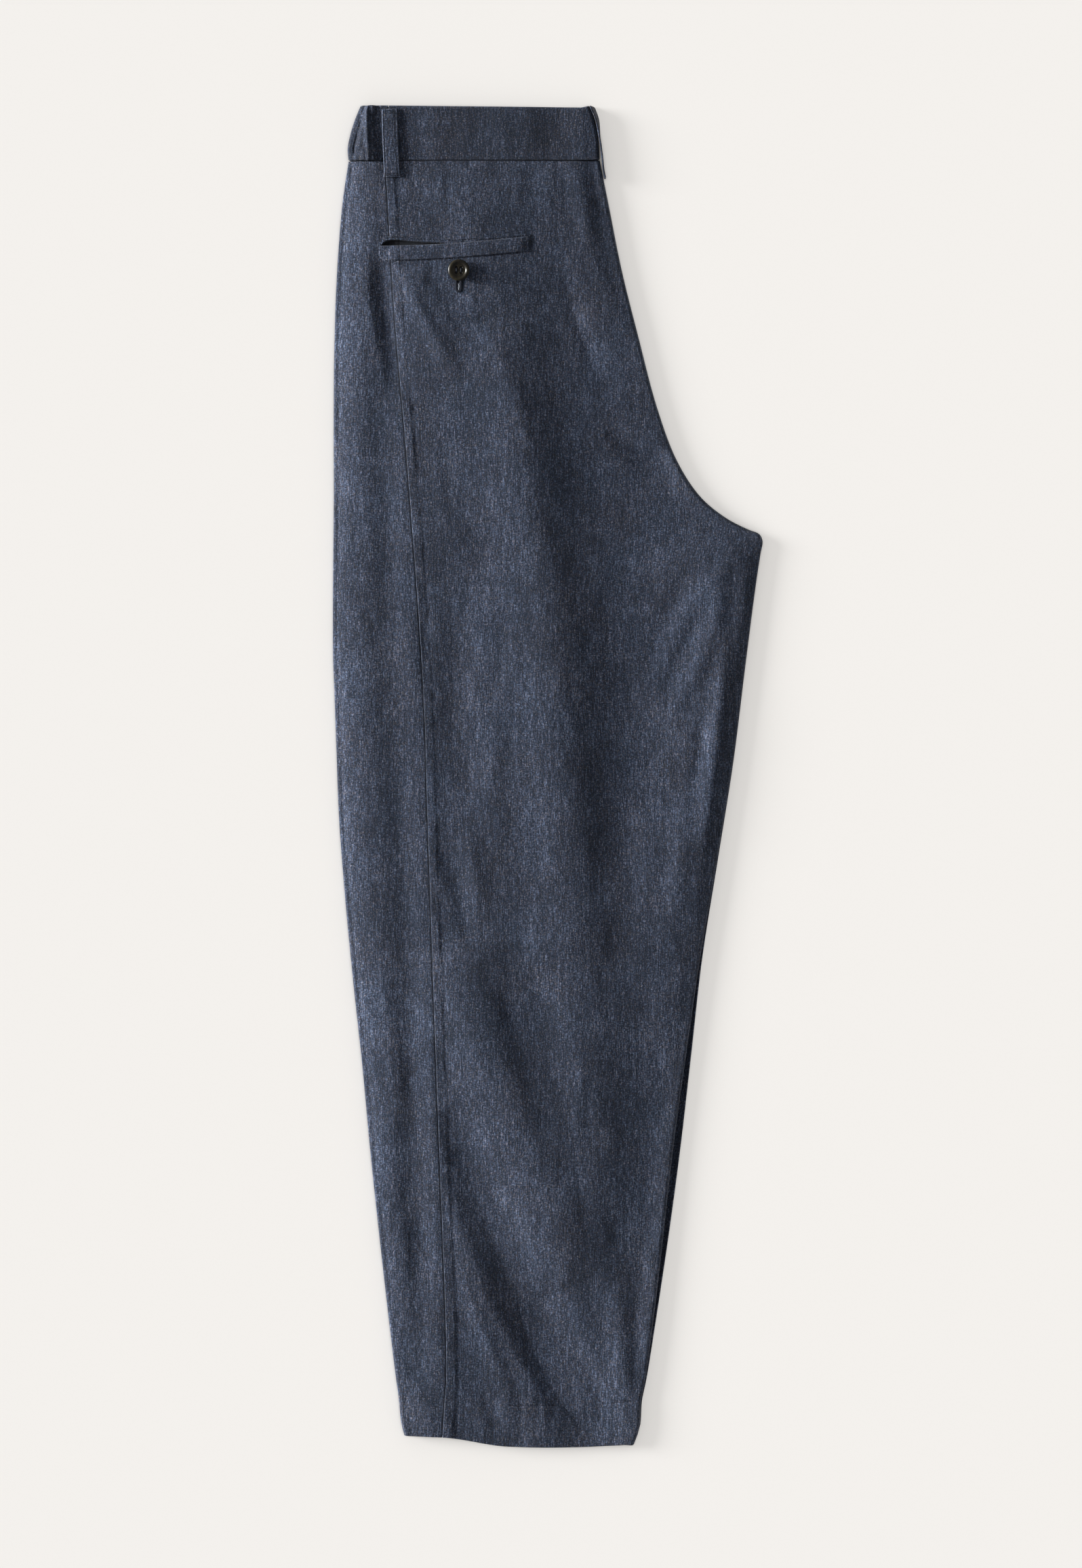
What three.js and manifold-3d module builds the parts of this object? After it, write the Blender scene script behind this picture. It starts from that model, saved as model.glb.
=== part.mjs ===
// Cropped tapered trousers in denim, folded in half along the centre back seam and laid flat, leg on leg.
// The upper leg shows its back panel. Its front panel comes round the left fold as far as the side seam.
// Millimetres. +Z is up from the surface, +Y points to the waist and +X to the crotch.
// The origin is on the surface, under the middle of the trousers.

import * as THREE from "three";
import { mergeVertices } from "three/addons/utils/BufferGeometryUtils.js";
import Module from "manifold-3d";

const wasm = await Module();
wasm.setup();

// Names the columns of a table whose rows are plain numbers.
function table(names, rows) {
  return rows.map((row) => Object.fromEntries(names.split(" ").map((name, k) => [name, row[k]])));
}

// Cloth
const clothWall = 1.4;
const bandWall = 2.0;
const hemExtra = 0.5;
const loopWall = 1.4;
const gap = 0.3;

// Heights: where the upper leg lies on the lower one, and the top of the folded edge
const leg = { plane: 4.3, edge: 8.3, wall: clothWall };
const band = { plane: 5.1, edge: 10.2, wall: bandWall };

// The left fold, the right rim, and how fast the cloth swells up from each
const foldReach = 3.2;
const foldTuck = 16;
const rimReach = 6;
const rimCurl = 2.6;
const leftEase = 15;
const rightEase = 22;
const calmLeft = 20;
const calmRight = 16;
const lowerInset = 1.2;
const fillGap = 1.3;

// Sections down the leg, from the waist seam to the hem. left and right are where a section meets the edges,
// inward is the direction from the right edge into the cloth in degrees, seamX is the side seam,
// height is the upper surface at the middle, peek is how far the lower leg shows past the upper one,
// inseam is 0 where the centre back seam closes the right edge and 1 where it is the inseam,
// and tucked is how far from the right edge the hidden layers end.
const sections = table("leftX leftY rightX rightY inward seamX height peek inseam tucked", [
  [-144.0,  445.0,  37.6,  446.0, 188, -117.6, 11.6, 0.0,   0, 3.1],
  [-148.4,  415.0,  43.8,  415.0, 192, -115.8, 12.6, 0.0,   0, 3.1],
  [-152.3,  366.0,  53.4,  367.0, 193, -113.2, 12.8, 0.0,   0, 3.1],
  [-154.3,  312.0,  65.6,  318.0, 195, -109.5, 12.6, 0.0,   0, 3.1],
  [-154.8,  254.0,  79.4,  266.0, 200, -104.4, 12.6, 0.0,   0, 3.1],
  [-154.7,  205.0,  93.8,  228.0, 212, -100.6, 12.8, 0.0,   0, 3.1],
  [-155.0,  170.0, 110.6,  202.5, 226,  -98.0, 12.8, 0.0,   0, 3.1],
  [-155.3,  142.0, 129.0,  187.3, 236,  -96.0, 12.8, 0.0,   0, 3.1],
  [-155.4,  120.0, 145.0,  179.0, 242,  -94.6, 12.8, 0.0,   0, 3.1],
  [-155.4,  106.0, 153.0,  175.6, 226,  -93.7, 12.8, 0.0, 0.1, 3.1],
  [-155.4,   96.0, 155.4,  170.5, 196,  -93.1, 12.8, 0.0, 0.4, 3.1],
  [-155.2,   84.0, 153.8,  161.0, 177,  -92.4, 12.8, 0.0, 0.8, 3.1],
  [-154.2,   58.0, 149.6,  133.0, 172,  -90.8, 12.8, 0.2,   1, 3.1],
  [-152.8,   18.0, 142.6,   80.0, 173,  -88.8, 12.8, 0.4,   1, 1.1],
  [-150.8,  -32.0, 133.7,   10.0, 171,  -87.4, 12.8, 0.5,   1, 1.1],
  [-146.3,  -90.0, 122.3,  -60.0, 171,  -85.3, 12.8, 0.8,   1, 1.1],
  [-140.5, -150.0, 110.1, -132.0, 171,  -83.2, 12.6, 1.6,   1, 1.1],
  [-134.0, -210.0, 100.2, -200.0, 171,  -81.0, 12.2, 3.7,   1, 1.1],
  [-128.4, -270.0,  91.2, -265.0, 172,  -78.7, 12.0, 5.2,   1, 1.1],
  [-122.0, -330.0,  84.0, -328.0, 173,  -76.4, 11.6, 4.0,   1, 1.1],
  [-115.2, -390.0,  76.7, -391.0, 173,  -74.2, 10.8, 1.9,   1, 1.1],
  [-110.0, -433.0,  70.4, -436.0, 172,  -73.6, 10.2, 1.0,   1, 1.1],
  [-107.9, -448.0,  67.4, -451.5, 174,  -74.6, 10.0, 0.8,   1, 1.1],
  [-105.9, -467.0,  66.2, -470.0, 176,  -75.8,  9.8, 0.6,   1, 1.1],
  [-103.6, -476.4,  61.8, -483.4, 168,  -76.4,  9.6, 0.4,   1, 1.1],
]);
const hemRow = 22;
const hemRows = sections.length - 1;

// Sections of the waistband, from its seam to its top edge
const bandSections = table("leftX leftY rightX rightY inward seamX height peek inseam tucked", [
  [-144.0,  445.3,  37.6,  446.3, 184, -116.0, 12.6,   0,   0, 3.1],
  [-144.6,  454.0,  37.2,  455.0, 184, -115.8, 12.7,   0,   0, 3.1],
  [-142.8,  464.0,  36.2,  464.5, 186, -115.6, 12.7,   0,   0, 3.1],
  [-139.4,  475.0,  33.8,  475.5, 190, -115.4, 12.5,   0,   0, 3.1],
  [-135.2,  485.2,  30.4,  485.2, 194, -115.2, 12.3,   0,   0, 3.1],
]);

// The hem dips between the seam and the inseam
const hemDip = { depth: 5, from: 0.16, deepest: 0.46, startY: -300, fullY: -440 };

// Soft folds of the upper leg: a ridge where rise is positive and a trough where it is negative.
// Each runs from one point past a bend to another and fades out at both ends. It is about 2.4 spreads wide
// to each side.
const folds = table("fromX fromY bendX bendY toX toY spread rise", [
  [ -34,  452,  -38,  310,  -22,  170, 34,  3.0], // seat dome
  [ -16,  250,   -4,   70,   24, -140, 25,  3.2], // thigh ridge
  [  44,  185,   60,   40,   42, -150, 14, -2.6], // thigh trough
  [ 122,  112,  114,   20,  100, -125, 12,  1.9], // inseam ridge
  [  20,  -90,   36, -200,   14, -350, 19,  2.4], // shin ridge
  [-121,  384, -120,  336, -107,  272,  7, -1.8], // hip trough
  [ -99,  364,  -86,  336,  -62,  296,  7,  2.0], // drag from the pocket
  [   6,  384,   10,  330,   44,  286,  8, -1.5], // seat drag
  [  20,  443,   23,  420,   34,  386,  7,  1.5], // drape from the band
  [ 128,  160,  100,  120,   90,   62,  7,  1.2], // crotch crease
  [ 124,  112,  124,   86,   92,   38,  7,  1.2], // inner thigh crease
  [ -70,  150,  -52,   50,  -64,  -45, 11, -1.7], // knee hollow
  [ -68,  -45,  -62,  -92,  -46, -130,  7, -1.2], // small knee trough
  [ -70, -122,  -52, -190,   -6, -246,  9,  2.2], // knee ridge
  [ -42, -112,  -26, -160,    6, -250,  9, -2.2], // knee trough
  [ -86, -250,  -62, -345,    2, -450, 10,  2.0], // shin crease's ridge
  [ -70, -250,  -42, -330,   40, -458, 10, -3.4], // shin crease's trough
  [  44, -352,   62, -400,   58, -462,  8,  1.3], // ankle ridge
  [-106,    0,  -99, -240,  -90, -474,  7, -1.5], // hollow beside the side seam
]);

// Gathers of the elasticated waistband, as ridges and troughs from the band's top edge to its seam
const gathers = table("topX bottomX spread rise", [
  [-131.8, -144.0, 1.4, -0.8], // crease at the corner
  [-130.8, -129.6, 1.2,  1.3],
  [-127.2, -126.2, 1.4, -0.9],
  [-123.8, -123.0, 1.1,  0.7],
]);

// Back pocket: the welt runs between two ends with a slight sag, round at its lower left corner.
// The mouth gapes above its left half.
const welt = {
  left: -122,
  right: -13.5,
  leftY: 378.2,
  rightY: 385.2,
  sag: 1.6,
  width: 10.4,
  thick: 1.0,
  corner: 4.9,
  lift: 0.6,
};
const mouth = { left: -120, right: -72, height: 3.8, widest: 16, corner: 4, cutFrom: 7, cutTo: 19 };

const button = { x: -64.2, y: 365.6, radius: 7.8, thick: 2.6, dish: 5.2, dishDepth: 0.9, lift: 1.9 };
const buttonHoles = { spacing: 3.3, radius: 1.0, thread: 0.5 };
const shank = { width: 1.4, length: 4.4, collar: 0.3 };
const buttonhole = { x: -64.2, top: 371.6, bottom: 350.6, width: 5.6, slot: 2.2, thick: 0.6 };

const sideLoop = { x: -114.3, slant: 2.0, top: 482.4, bottom: 432.8, width: 11.4, flare: 1.2, stand: 0.9 };
const loopGap = 0.4;
const backLoop = {
  low: 0.4,
  high: 11.2,
  thick: 1.2,
  lean: 3.0,
  leanFrom: 456,
  line: table("x y", [
    [34.6, 485.2],
    [38.0, 476.0],
    [38.8, 462.0],
    [39.9, 449.0],
    [41.1, 438.0],
    [42.2, 432.8],
  ]),
};

// Mesh steps
const upperSpacing = 19;
const lowerSpacing = 60;
const topSteps = 22;
const frontSteps = 5;
const bandSteps = 18;
const lowerSteps = 2;
const curlSteps = 3;
const foldSteps = 6;
const fillSteps = 12;
const hemLip = 0.02;

const smooth = (value, from, to) => THREE.MathUtils.smoothstep(value, from, to);

function curveOf(rows, xName, yName) {
  const points = rows.map((row) => new THREE.Vector3(row[xName], row[yName], 0));
  return new THREE.CatmullRomCurve3(points, false, "centripetal");
}

function columnOf(rows, name) {
  return new THREE.SplineCurve(rows.map((row, index) => new THREE.Vector2(index, row[name])));
}

// A garment part as smooth columns that can be read at any place t, 0 at its first section and 1 at its last.
function layoutOf(rows, levels) {
  return {
    ...levels,
    left: curveOf(rows, "leftX", "leftY"),
    right: curveOf(rows, "rightX", "rightY"),
    inward: columnOf(rows, "inward"),
    seamX: columnOf(rows, "seamX"),
    height: columnOf(rows, "height"),
    peek: columnOf(rows, "peek"),
    inseam: columnOf(rows, "inseam"),
    tucked: columnOf(rows, "tucked"),
  };
}

const legLayout = layoutOf(sections, leg);
const bandLayout = layoutOf(bandSections, band);

// One section: a straight run from the left edge to just inside the right edge, then out to the edge.
function sectionAt(layout, t) {
  const left = layout.left.getPoint(t);
  const right = layout.right.getPoint(t);
  const inward = THREE.MathUtils.degToRad(layout.inward.getPoint(t).y);
  const outward = new THREE.Vector3(-Math.cos(inward), -Math.sin(inward), 0);
  const inner = right.clone().addScaledVector(outward, -rimReach);
  const span = left.distanceTo(inner);
  const seamX = layout.seamX.getPoint(t).y;
  return {
    layout,
    t,
    left,
    inner,
    outward,
    span,
    width: span + rimReach,
    seam: ((seamX - left.x) / (inner.x - left.x)) * span,
    height: layout.height.getPoint(t).y,
    peek: layout.peek.getPoint(t).y,
    inseam: THREE.MathUtils.clamp(layout.inseam.getPoint(t).y, 0, 1),
    tucked: Math.max(layout.tucked.getPoint(t).y, 1.1),
  };
}

// The plan position at a distance across a section from its left edge, with the dip of the hem.
function planPoint(section, across) {
  const point = section.left.clone().lerp(section.inner, Math.min(across / section.span, 1));
  point.addScaledVector(section.outward, Math.max(across - section.span, 0));
  const share = across / section.width;
  const dip = smooth(share, hemDip.from, hemDip.deepest) * (1 - Math.max(share * 2 - 1, 0) ** 2);
  point.y -= hemDip.depth * Math.max(dip, 0) * (1 - smooth(point.y, hemDip.fullY, hemDip.startY));
  return point;
}

const foldPaths = folds.map((fold) =>
  new THREE.QuadraticBezierCurve(
    new THREE.Vector2(fold.fromX, fold.fromY),
    new THREE.Vector2(fold.bendX, fold.bendY),
    new THREE.Vector2(fold.toX, fold.toY),
  ).getPoints(10),
);

// Height that the soft folds add at a plan position.
function relief(x, y) {
  const point = new THREE.Vector2(x, y);
  let total = 0;
  folds.forEach((fold, index) => {
    const path = foldPaths[index];
    let nearest = Infinity;
    let along = 0;
    for (let k = 0; k + 1 < path.length; k++) {
      const run = path[k + 1].clone().sub(path[k]);
      const offset = point.clone().sub(path[k]);
      const share = THREE.MathUtils.clamp(offset.dot(run) / run.lengthSq(), 0, 1);
      const distance = offset.addScaledVector(run, -share).length();
      if (distance < nearest) {
        nearest = distance;
        along = (k + share) / (path.length - 1);
      }
    }
    const fade = Math.sqrt(Math.max(4 * along * (1 - along), 0));
    total += fold.rise * fade * Math.exp(-((nearest / fold.spread) ** 2) / 2);
  });
  return total;
}

// Height of the upper outer surface across a section.
function topHeight(section, across) {
  const { edge } = section.layout;
  const fromLeft = Math.max(across - foldReach, 0);
  const fromRight = Math.max(section.width - rimCurl - across, 0);
  const swell = (1 - Math.exp(-fromLeft / leftEase)) * (1 - Math.exp(-fromRight / rightEase));
  const calm = smooth(fromLeft, 0, calmLeft) * smooth(fromRight, 0, calmRight);
  const point = planPoint(section, across);
  const creased = section.layout === legLayout ? calm * relief(point.x, point.y) : 0;
  return edge + (section.height - edge) * swell + creased;
}

// Height of the upper outer surface over a plan position, found by halving the range of sections.
function surfaceAt(x, y) {
  const layout = y > bandSections[0].leftY ? bandLayout : legLayout;
  let [above, below] = layout === legLayout ? [0, 1] : [1, 0];
  let section;
  let across = 0;
  for (let k = 0; k < 24; k++) {
    section = sectionAt(layout, (above + below) / 2);
    across = ((x - section.left.x) / (section.inner.x - section.left.x)) * section.span;
    if (planPoint(section, across).y > y) above = section.t;
    else below = section.t;
  }
  return topHeight(section, across);
}

// Moves a profile of (across, z) points inwards by a wall, square to its own line, with outside to the left
// of travel. The ends are cut level or upright.
function inset(profile, wall) {
  const last = profile.length - 1;
  return profile.map((point, k) => {
    const run = profile[Math.min(k + 1, last)].clone().sub(profile[Math.max(k - 1, 0)]).normalize();
    if (k === 0 || k === last) {
      run.set(Math.abs(run.x) > Math.abs(run.y) ? Math.sign(run.x) : 0, 0);
      if (run.x === 0) run.y = Math.sign(profile[Math.min(k + 1, last)].y - profile[Math.max(k - 1, 0)].y);
    }
    return new THREE.Vector2(point.x + run.y * wall, point.y - run.x * wall);
  });
}

const range = (count) => Array.from({ length: count + 1 }, (_, k) => k / count);

// From the side seam over the top, and down at the right edge: as far as the plane between the legs
// at the centre back, and less at the inseam.
function upperBackProfile(section, from) {
  const { plane, wall } = section.layout;
  const start = section.width - rimCurl;
  const bottom = plane + gap / 2 + section.inseam * (wall + gap);
  const top = topHeight(section, start);
  const flat = range(topSteps).map((share) => {
    const across = THREE.MathUtils.lerp(from, start, share);
    return new THREE.Vector2(across, topHeight(section, across));
  });
  const curl = range(curlSteps).slice(1).map((share) => {
    const angle = (share * Math.PI) / 2;
    return new THREE.Vector2(start + rimCurl * Math.sin(angle), bottom + (top - bottom) * Math.cos(angle));
  });
  return [...flat, ...curl];
}

// From under the left fold, round it and over the top to the seam.
function upperFrontProfile(section, to, arms, rise = () => 0) {
  const low = section.layout.plane + gap / 2;
  const top = topHeight(section, foldReach);
  const middle = (low + top) / 2;
  const fold = range(foldSteps).map((share) => {
    const angle = share * Math.PI;
    const across = foldReach * (1 - Math.sin(angle));
    return new THREE.Vector2(across, middle - (middle - low) * Math.cos(angle));
  });
  const over = range(arms).slice(1).map((share) => {
    const across = THREE.MathUtils.lerp(foldReach, to, share);
    return new THREE.Vector2(across, topHeight(section, across) + rise(across));
  });
  return [new THREE.Vector2(foldTuck, low), ...fold, ...over];
}

// The lower leg's back panel lies on the surface and curls up at the right edge.
function lowerBackProfile(section, to, steps) {
  const { plane, wall } = section.layout;
  const edge = section.width + section.peek;
  const start = edge - rimCurl;
  const top = plane - gap / 2 - section.inseam * (wall + gap);
  const curl = range(curlSteps).slice(0, -1).map((share) => {
    const angle = (share * Math.PI) / 2;
    return new THREE.Vector2(start + rimCurl * Math.cos(angle), top * (1 - Math.sin(angle)));
  });
  const flat = range(steps).map((share) => new THREE.Vector2(THREE.MathUtils.lerp(start, to, share), 0));
  return [...curl, ...flat];
}

// The lower leg's front panel comes from the side seam along the surface, round the left fold and in
// above itself.
function lowerFrontProfile(section, from) {
  const high = section.layout.plane - gap / 2;
  const middle = high / 2;
  const fold = range(foldSteps).map((share) => {
    const angle = share * Math.PI;
    const across = lowerInset + foldReach * (1 - Math.sin(angle));
    return new THREE.Vector2(across, middle * (1 - Math.cos(angle)));
  });
  const under = from > 0 ? [new THREE.Vector2(from, 0)] : [];
  return [...under, ...fold, new THREE.Vector2(foldTuck, high)];
}

function toSpace(section, profile) {
  return profile.map(({ x, y }) => {
    const point = planPoint(section, x);
    point.z = y;
    return point;
  });
}

// A closed geometry from flat lists, turned so that its faces point out.
function closedGeometry(points, faces) {
  let volume = 0;
  for (const [a, b, c] of faces) {
    volume += points[a].dot(new THREE.Vector3().crossVectors(points[b], points[c]));
  }
  const index = faces.flatMap(([a, b, c]) => (volume > 0 ? [a, b, c] : [a, c, b]));
  const geometry = new THREE.BufferGeometry();
  geometry.setAttribute("position", new THREE.Float32BufferAttribute(points.flatMap((p) => p.toArray()), 3));
  geometry.setIndex(index);
  geometry.computeVertexNormals();
  return geometry;
}

// A sheet with thickness: an outer and an inner grid of the same size, joined all round their edges.
function sheet(outer, inner) {
  const rows = outer.length;
  const columns = outer[0].length;
  const points = [...outer.flat(), ...inner.flat()];
  const under = rows * columns;
  const at = (i, j) => i * columns + j;
  const faces = [];
  const quad = (a, b, c, d) => faces.push([a, b, c], [a, c, d]);
  for (let i = 0; i + 1 < rows; i++) {
    for (let j = 0; j + 1 < columns; j++) {
      quad(at(i, j), at(i, j + 1), at(i + 1, j + 1), at(i + 1, j));
      quad(under + at(i, j), under + at(i + 1, j), under + at(i + 1, j + 1), under + at(i, j + 1));
    }
    quad(at(i, 0), at(i + 1, 0), under + at(i + 1, 0), under + at(i, 0));
    const last = columns - 1;
    quad(at(i + 1, last), at(i, last), under + at(i, last), under + at(i + 1, last));
  }
  for (let j = 0; j + 1 < columns; j++) {
    const last = rows - 1;
    quad(at(0, j + 1), at(0, j), under + at(0, j), under + at(0, j + 1));
    quad(at(last, j), at(last, j + 1), under + at(last, j + 1), under + at(last, j));
  }
  return closedGeometry(points, faces);
}

// A sheet whose profile and wall are worked out anew at each place down a layout.
function sheetAlong(layout, places, profileOf, wallOf) {
  const outer = [];
  const inner = [];
  for (const t of places) {
    const section = sectionAt(layout, t);
    const profile = profileOf(section);
    outer.push(toSpace(section, profile));
    inner.push(toSpace(section, inset(profile, wallOf(t))));
  }
  return sheet(outer, inner);
}

// A ring of sections swept round a closed path.
function closedRing(rings) {
  const sides = rings[0].length;
  const faces = [];
  rings.forEach((_, i) => {
    const here = i * sides;
    const next = ((i + 1) % rings.length) * sides;
    for (let j = 0; j < sides; j++) {
      const k = (j + 1) % sides;
      faces.push([here + j, next + j, next + k], [here + j, next + k, here + k]);
    }
  });
  return closedGeometry(rings.flat(), faces);
}

function solidOf(geometry) {
  const plain = geometry.clone();
  plain.deleteAttribute("normal");
  plain.deleteAttribute("uv");
  const merged = mergeVertices(plain, 1e-4);
  const vertProperties = new Float32Array(merged.attributes.position.array);
  const triVerts = new Uint32Array(merged.index.array);
  return new wasm.Manifold(new wasm.Mesh({ numProp: 3, vertProperties, triVerts }));
}

function geometryOf(solid) {
  const { vertProperties, triVerts } = solid.getMesh();
  const geometry = new THREE.BufferGeometry();
  geometry.setAttribute("position", new THREE.BufferAttribute(new Float32Array(vertProperties), 3));
  geometry.setIndex(new THREE.BufferAttribute(new Uint32Array(triVerts), 1));
  geometry.computeVertexNormals();
  return geometry;
}

const joined = (geometries) => geometryOf(geometries.map(solidOf).reduce((whole, solid) => whole.add(solid)));
const cut = (geometry, tool) => geometryOf(solidOf(geometry).subtract(solidOf(tool)));

// Places down the leg about one spacing apart, with a pair close together where the hem's fold begins.
function legPlaces(spacing) {
  const places = sections.slice(1).flatMap((next, index) => {
    const steps = Math.max(Math.round((sections[index].leftY - next.leftY) / spacing), 1);
    return range(steps).slice(0, -1).map((share) => (index + share) / hemRows);
  });
  return [...places, (hemRow + hemLip) / hemRows, 1].sort((a, b) => a - b);
}

const hemStep = (t) => smooth(t, hemRow / hemRows, (hemRow + hemLip) / hemRows);
const legWall = (t) => clothWall + hemExtra * hemStep(t);

// A profile whose upper face is thicker below the hem's fold.
function withHem(section, profile) {
  const upperFace = section.layout.plane + clothWall * 2;
  const extra = hemExtra * hemStep(section.t);
  return profile.map(({ x, y }) => new THREE.Vector2(x, y > upperFace ? y + extra : y));
}

// The mouth's shape: along the welt's upper edge below, and arched above its left part.
function mouthTool() {
  const { left, right, height, widest, corner, cutFrom, cutTo } = mouth;
  const edge = (x) => weltLine(x) + welt.width / 2;
  const top = edge(left + widest) + height;
  const shape = new THREE.Shape();
  shape.moveTo(left, edge(left));
  shape.quadraticCurveTo(left + corner, top, left + widest, top);
  shape.quadraticCurveTo(right - widest, top, right, edge(right));
  shape.quadraticCurveTo(left + widest, edge(left + widest), left, edge(left));
  const options = { depth: cutTo - cutFrom, bevelEnabled: false, curveSegments: 6 };
  return new THREE.ExtrudeGeometry(shape, options).translate(0, 0, cutFrom);
}

function backPanelUpper() {
  const panel = sheetAlong(
    legLayout,
    legPlaces(upperSpacing),
    (section) => withHem(section, upperBackProfile(section, section.seam + gap / 2)),
    legWall,
  );
  return cut(panel, mouthTool());
}

function frontPanelUpper() {
  const panel = sheetAlong(
    legLayout,
    legPlaces(upperSpacing),
    (section) => withHem(section, upperFrontProfile(section, section.seam - gap / 2, frontSteps)),
    legWall,
  );
  return cut(panel, mouthTool());
}

function backPanelLower() {
  return sheetAlong(
    legLayout,
    legPlaces(lowerSpacing),
    (section) => lowerBackProfile(section, section.seam + gap / 2, lowerSteps),
    () => clothWall,
  );
}

function frontPanelLower() {
  return sheetAlong(
    legLayout,
    legPlaces(lowerSpacing),
    (section) => lowerFrontProfile(section, section.seam - gap / 2),
    () => clothWall,
  );
}

// The band's top edge is a fold of its cloth, so it thins there.
const bandPlaces = [0, 0.04, 0.25, 0.5, 0.75, 0.95, 1];
const bandThickness = (t) => bandWall * (1 - 0.4 * smooth(t, 0.95, 1) - 0.2 * (1 - smooth(t, 0, 0.04)));

function waistbandBackUpper() {
  return sheetAlong(
    bandLayout,
    bandPlaces,
    (section) => upperBackProfile(section, section.seam + gap / 2),
    bandThickness,
  );
}

// Height of the elasticated stretch's gathers, which the belt loop holds flat.
function gathered(section, across) {
  const { x } = planPoint(section, across);
  const beforeLoop = sideLoop.x - sideLoop.width / 2 - 1 - x;
  const held = smooth(beforeLoop, 0, 2.5) * smooth(across, foldReach, foldReach + 2);
  const total = gathers.reduce((sum, { topX, bottomX, spread, rise }) => {
    const from = (x - THREE.MathUtils.lerp(bottomX, topX, section.t)) / spread;
    return sum + rise * Math.exp(-(from ** 2) / 2);
  }, 0);
  return held * total;
}

function waistbandSideUpper() {
  return sheetAlong(
    bandLayout,
    bandPlaces,
    (section) => {
      const rise = (across) => gathered(section, across);
      return upperFrontProfile(section, section.seam - gap / 2, bandSteps, rise);
    },
    bandThickness,
  );
}

function waistbandLower() {
  return sheetAlong(
    bandLayout,
    bandPlaces,
    (section) => [
      ...lowerBackProfile(section, lowerInset + foldReach + 1, lowerSteps),
      ...lowerFrontProfile(section, 0),
    ],
    bandThickness,
  );
}

// A slab between two heights over part of each section.
function slab(layout, places, from, to, low, high, steps = 1) {
  const grid = (heightOf) =>
    places.map((t) => {
      const section = sectionAt(layout, t);
      const [start, end] = [from(section), to(section)];
      return range(steps).map((share) => {
        const across = THREE.MathUtils.lerp(start, end, share);
        const point = planPoint(section, across);
        point.z = heightOf(section, across);
        return point;
      });
    });
  return sheet(grid(high), grid(low));
}

// The hidden layers: the front halves of both legs, apart at their edges and joined well inside them,
// with the soft filling of air and pocket bags between the upper leg's two faces.
function foldedLayers() {
  const start = foldTuck + gap * 2;
  const webInset = 14;
  const fillInset = 24;
  const inset = (by) => [() => start + by, (section) => section.width - Math.max(section.tucked, by)];
  const layers = (layout, places) => {
    const { plane, wall } = layout;
    return [
      slab(layout, places, ...inset(0), () => plane + gap / 2, () => plane + gap / 2 + wall, 2),
      slab(layout, places, ...inset(0), () => plane - gap / 2 - wall, () => plane - gap / 2, 2),
    ];
  };
  const core = (layout, places, by, steps, top = () => layout.plane + layout.wall) =>
    slab(layout, places, ...inset(by), () => layout.wall + gap, top, steps);
  const underside = (section, across) => topHeight(section, across) - section.layout.wall - fillGap;
  const all = range(hemRows);
  const insideLeg = all.filter((t) => t > 0.5 / hemRows && t < (hemRow - 1.5) / hemRows);
  const fillPlaces = legPlaces(upperSpacing).filter((t) => t >= insideLeg[0] && t <= insideLeg.at(-1));
  return joined([
    ...layers(legLayout, all),
    core(legLayout, insideLeg, webInset, 2),
    core(legLayout, fillPlaces, fillInset, fillSteps, underside),
    ...layers(bandLayout, [0.02, 0.3, 0.6, 0.94]),
    core(bandLayout, [0.05, 0.5, 0.85], webInset, 2),
    core(bandLayout, [0.1, 0.5, 0.8], fillInset + 8, 3, underside),
    // the layers pass from the panels into the band under the waist seam
    core(bandLayout, [0, 0.3], webInset, 1, () => leg.plane + clothWall).translate(0, -6, 0),
  ]);
}

// Middle line of the pocket welt: straight between its ends, with a slight sag.
function weltLine(x) {
  const share = (x - welt.left) / (welt.right - welt.left);
  return THREE.MathUtils.lerp(welt.leftY, welt.rightY, share) - welt.sag * Math.sin(Math.PI * share);
}

function pocketWelt() {
  const { left, right, width, thick, corner, lift } = welt;
  const row = (side, up) =>
    range(20).map((share) => {
      const x = THREE.MathUtils.lerp(left, right, share);
      const radius = side < 0 ? corner : 1;
      const round = radius - Math.sqrt(radius ** 2 - Math.max(radius - (x - left), 0) ** 2);
      const y = weltLine(x) + side * (width / 2 - round);
      return new THREE.Vector3(x, y, surfaceAt(x, y) + lift + up);
    });
  const sides = [-1, -0.3, 0.4, 1];
  const crown = (side) => thick * (Math.abs(side) < 1 ? 1 : 0.75);
  return sheet(
    sides.map((side) => row(side, crown(side))),
    sides.map((side) => row(side, 0)),
  );
}

function buttonGeometry() {
  const { radius, thick, dish, dishDepth } = button;
  const outline = [
    [0, 0],
    [radius - 1.6, 0],
    [radius - 0.2, 1.1],
    [radius, 1.6],
    [radius - 0.5, thick - 0.2],
    [radius - 1.4, thick],
    [dish + 0.6, thick - 0.3],
    [dish - 0.6, thick - dishDepth],
    [0, thick - dishDepth],
  ].map(([x, y]) => new THREE.Vector2(x, y));
  const disc = new THREE.LatheGeometry(outline, 28).rotateX(Math.PI / 2);
  let solid = solidOf(disc);
  if (solid.volume() < 0) throw new Error("the button's outline runs the wrong way");
  for (const [x, y] of holePlaces()) {
    const hole = new THREE.CylinderGeometry(buttonHoles.radius, buttonHoles.radius, thick * 2, 10);
    solid = solid.subtract(solidOf(hole.rotateX(Math.PI / 2).translate(x, y, thick / 2)));
  }
  return geometryOf(solid);
}

function holePlaces() {
  const half = buttonHoles.spacing / 2;
  return [[-half, -half], [half, -half], [-half, half], [half, half]];
}

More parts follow.
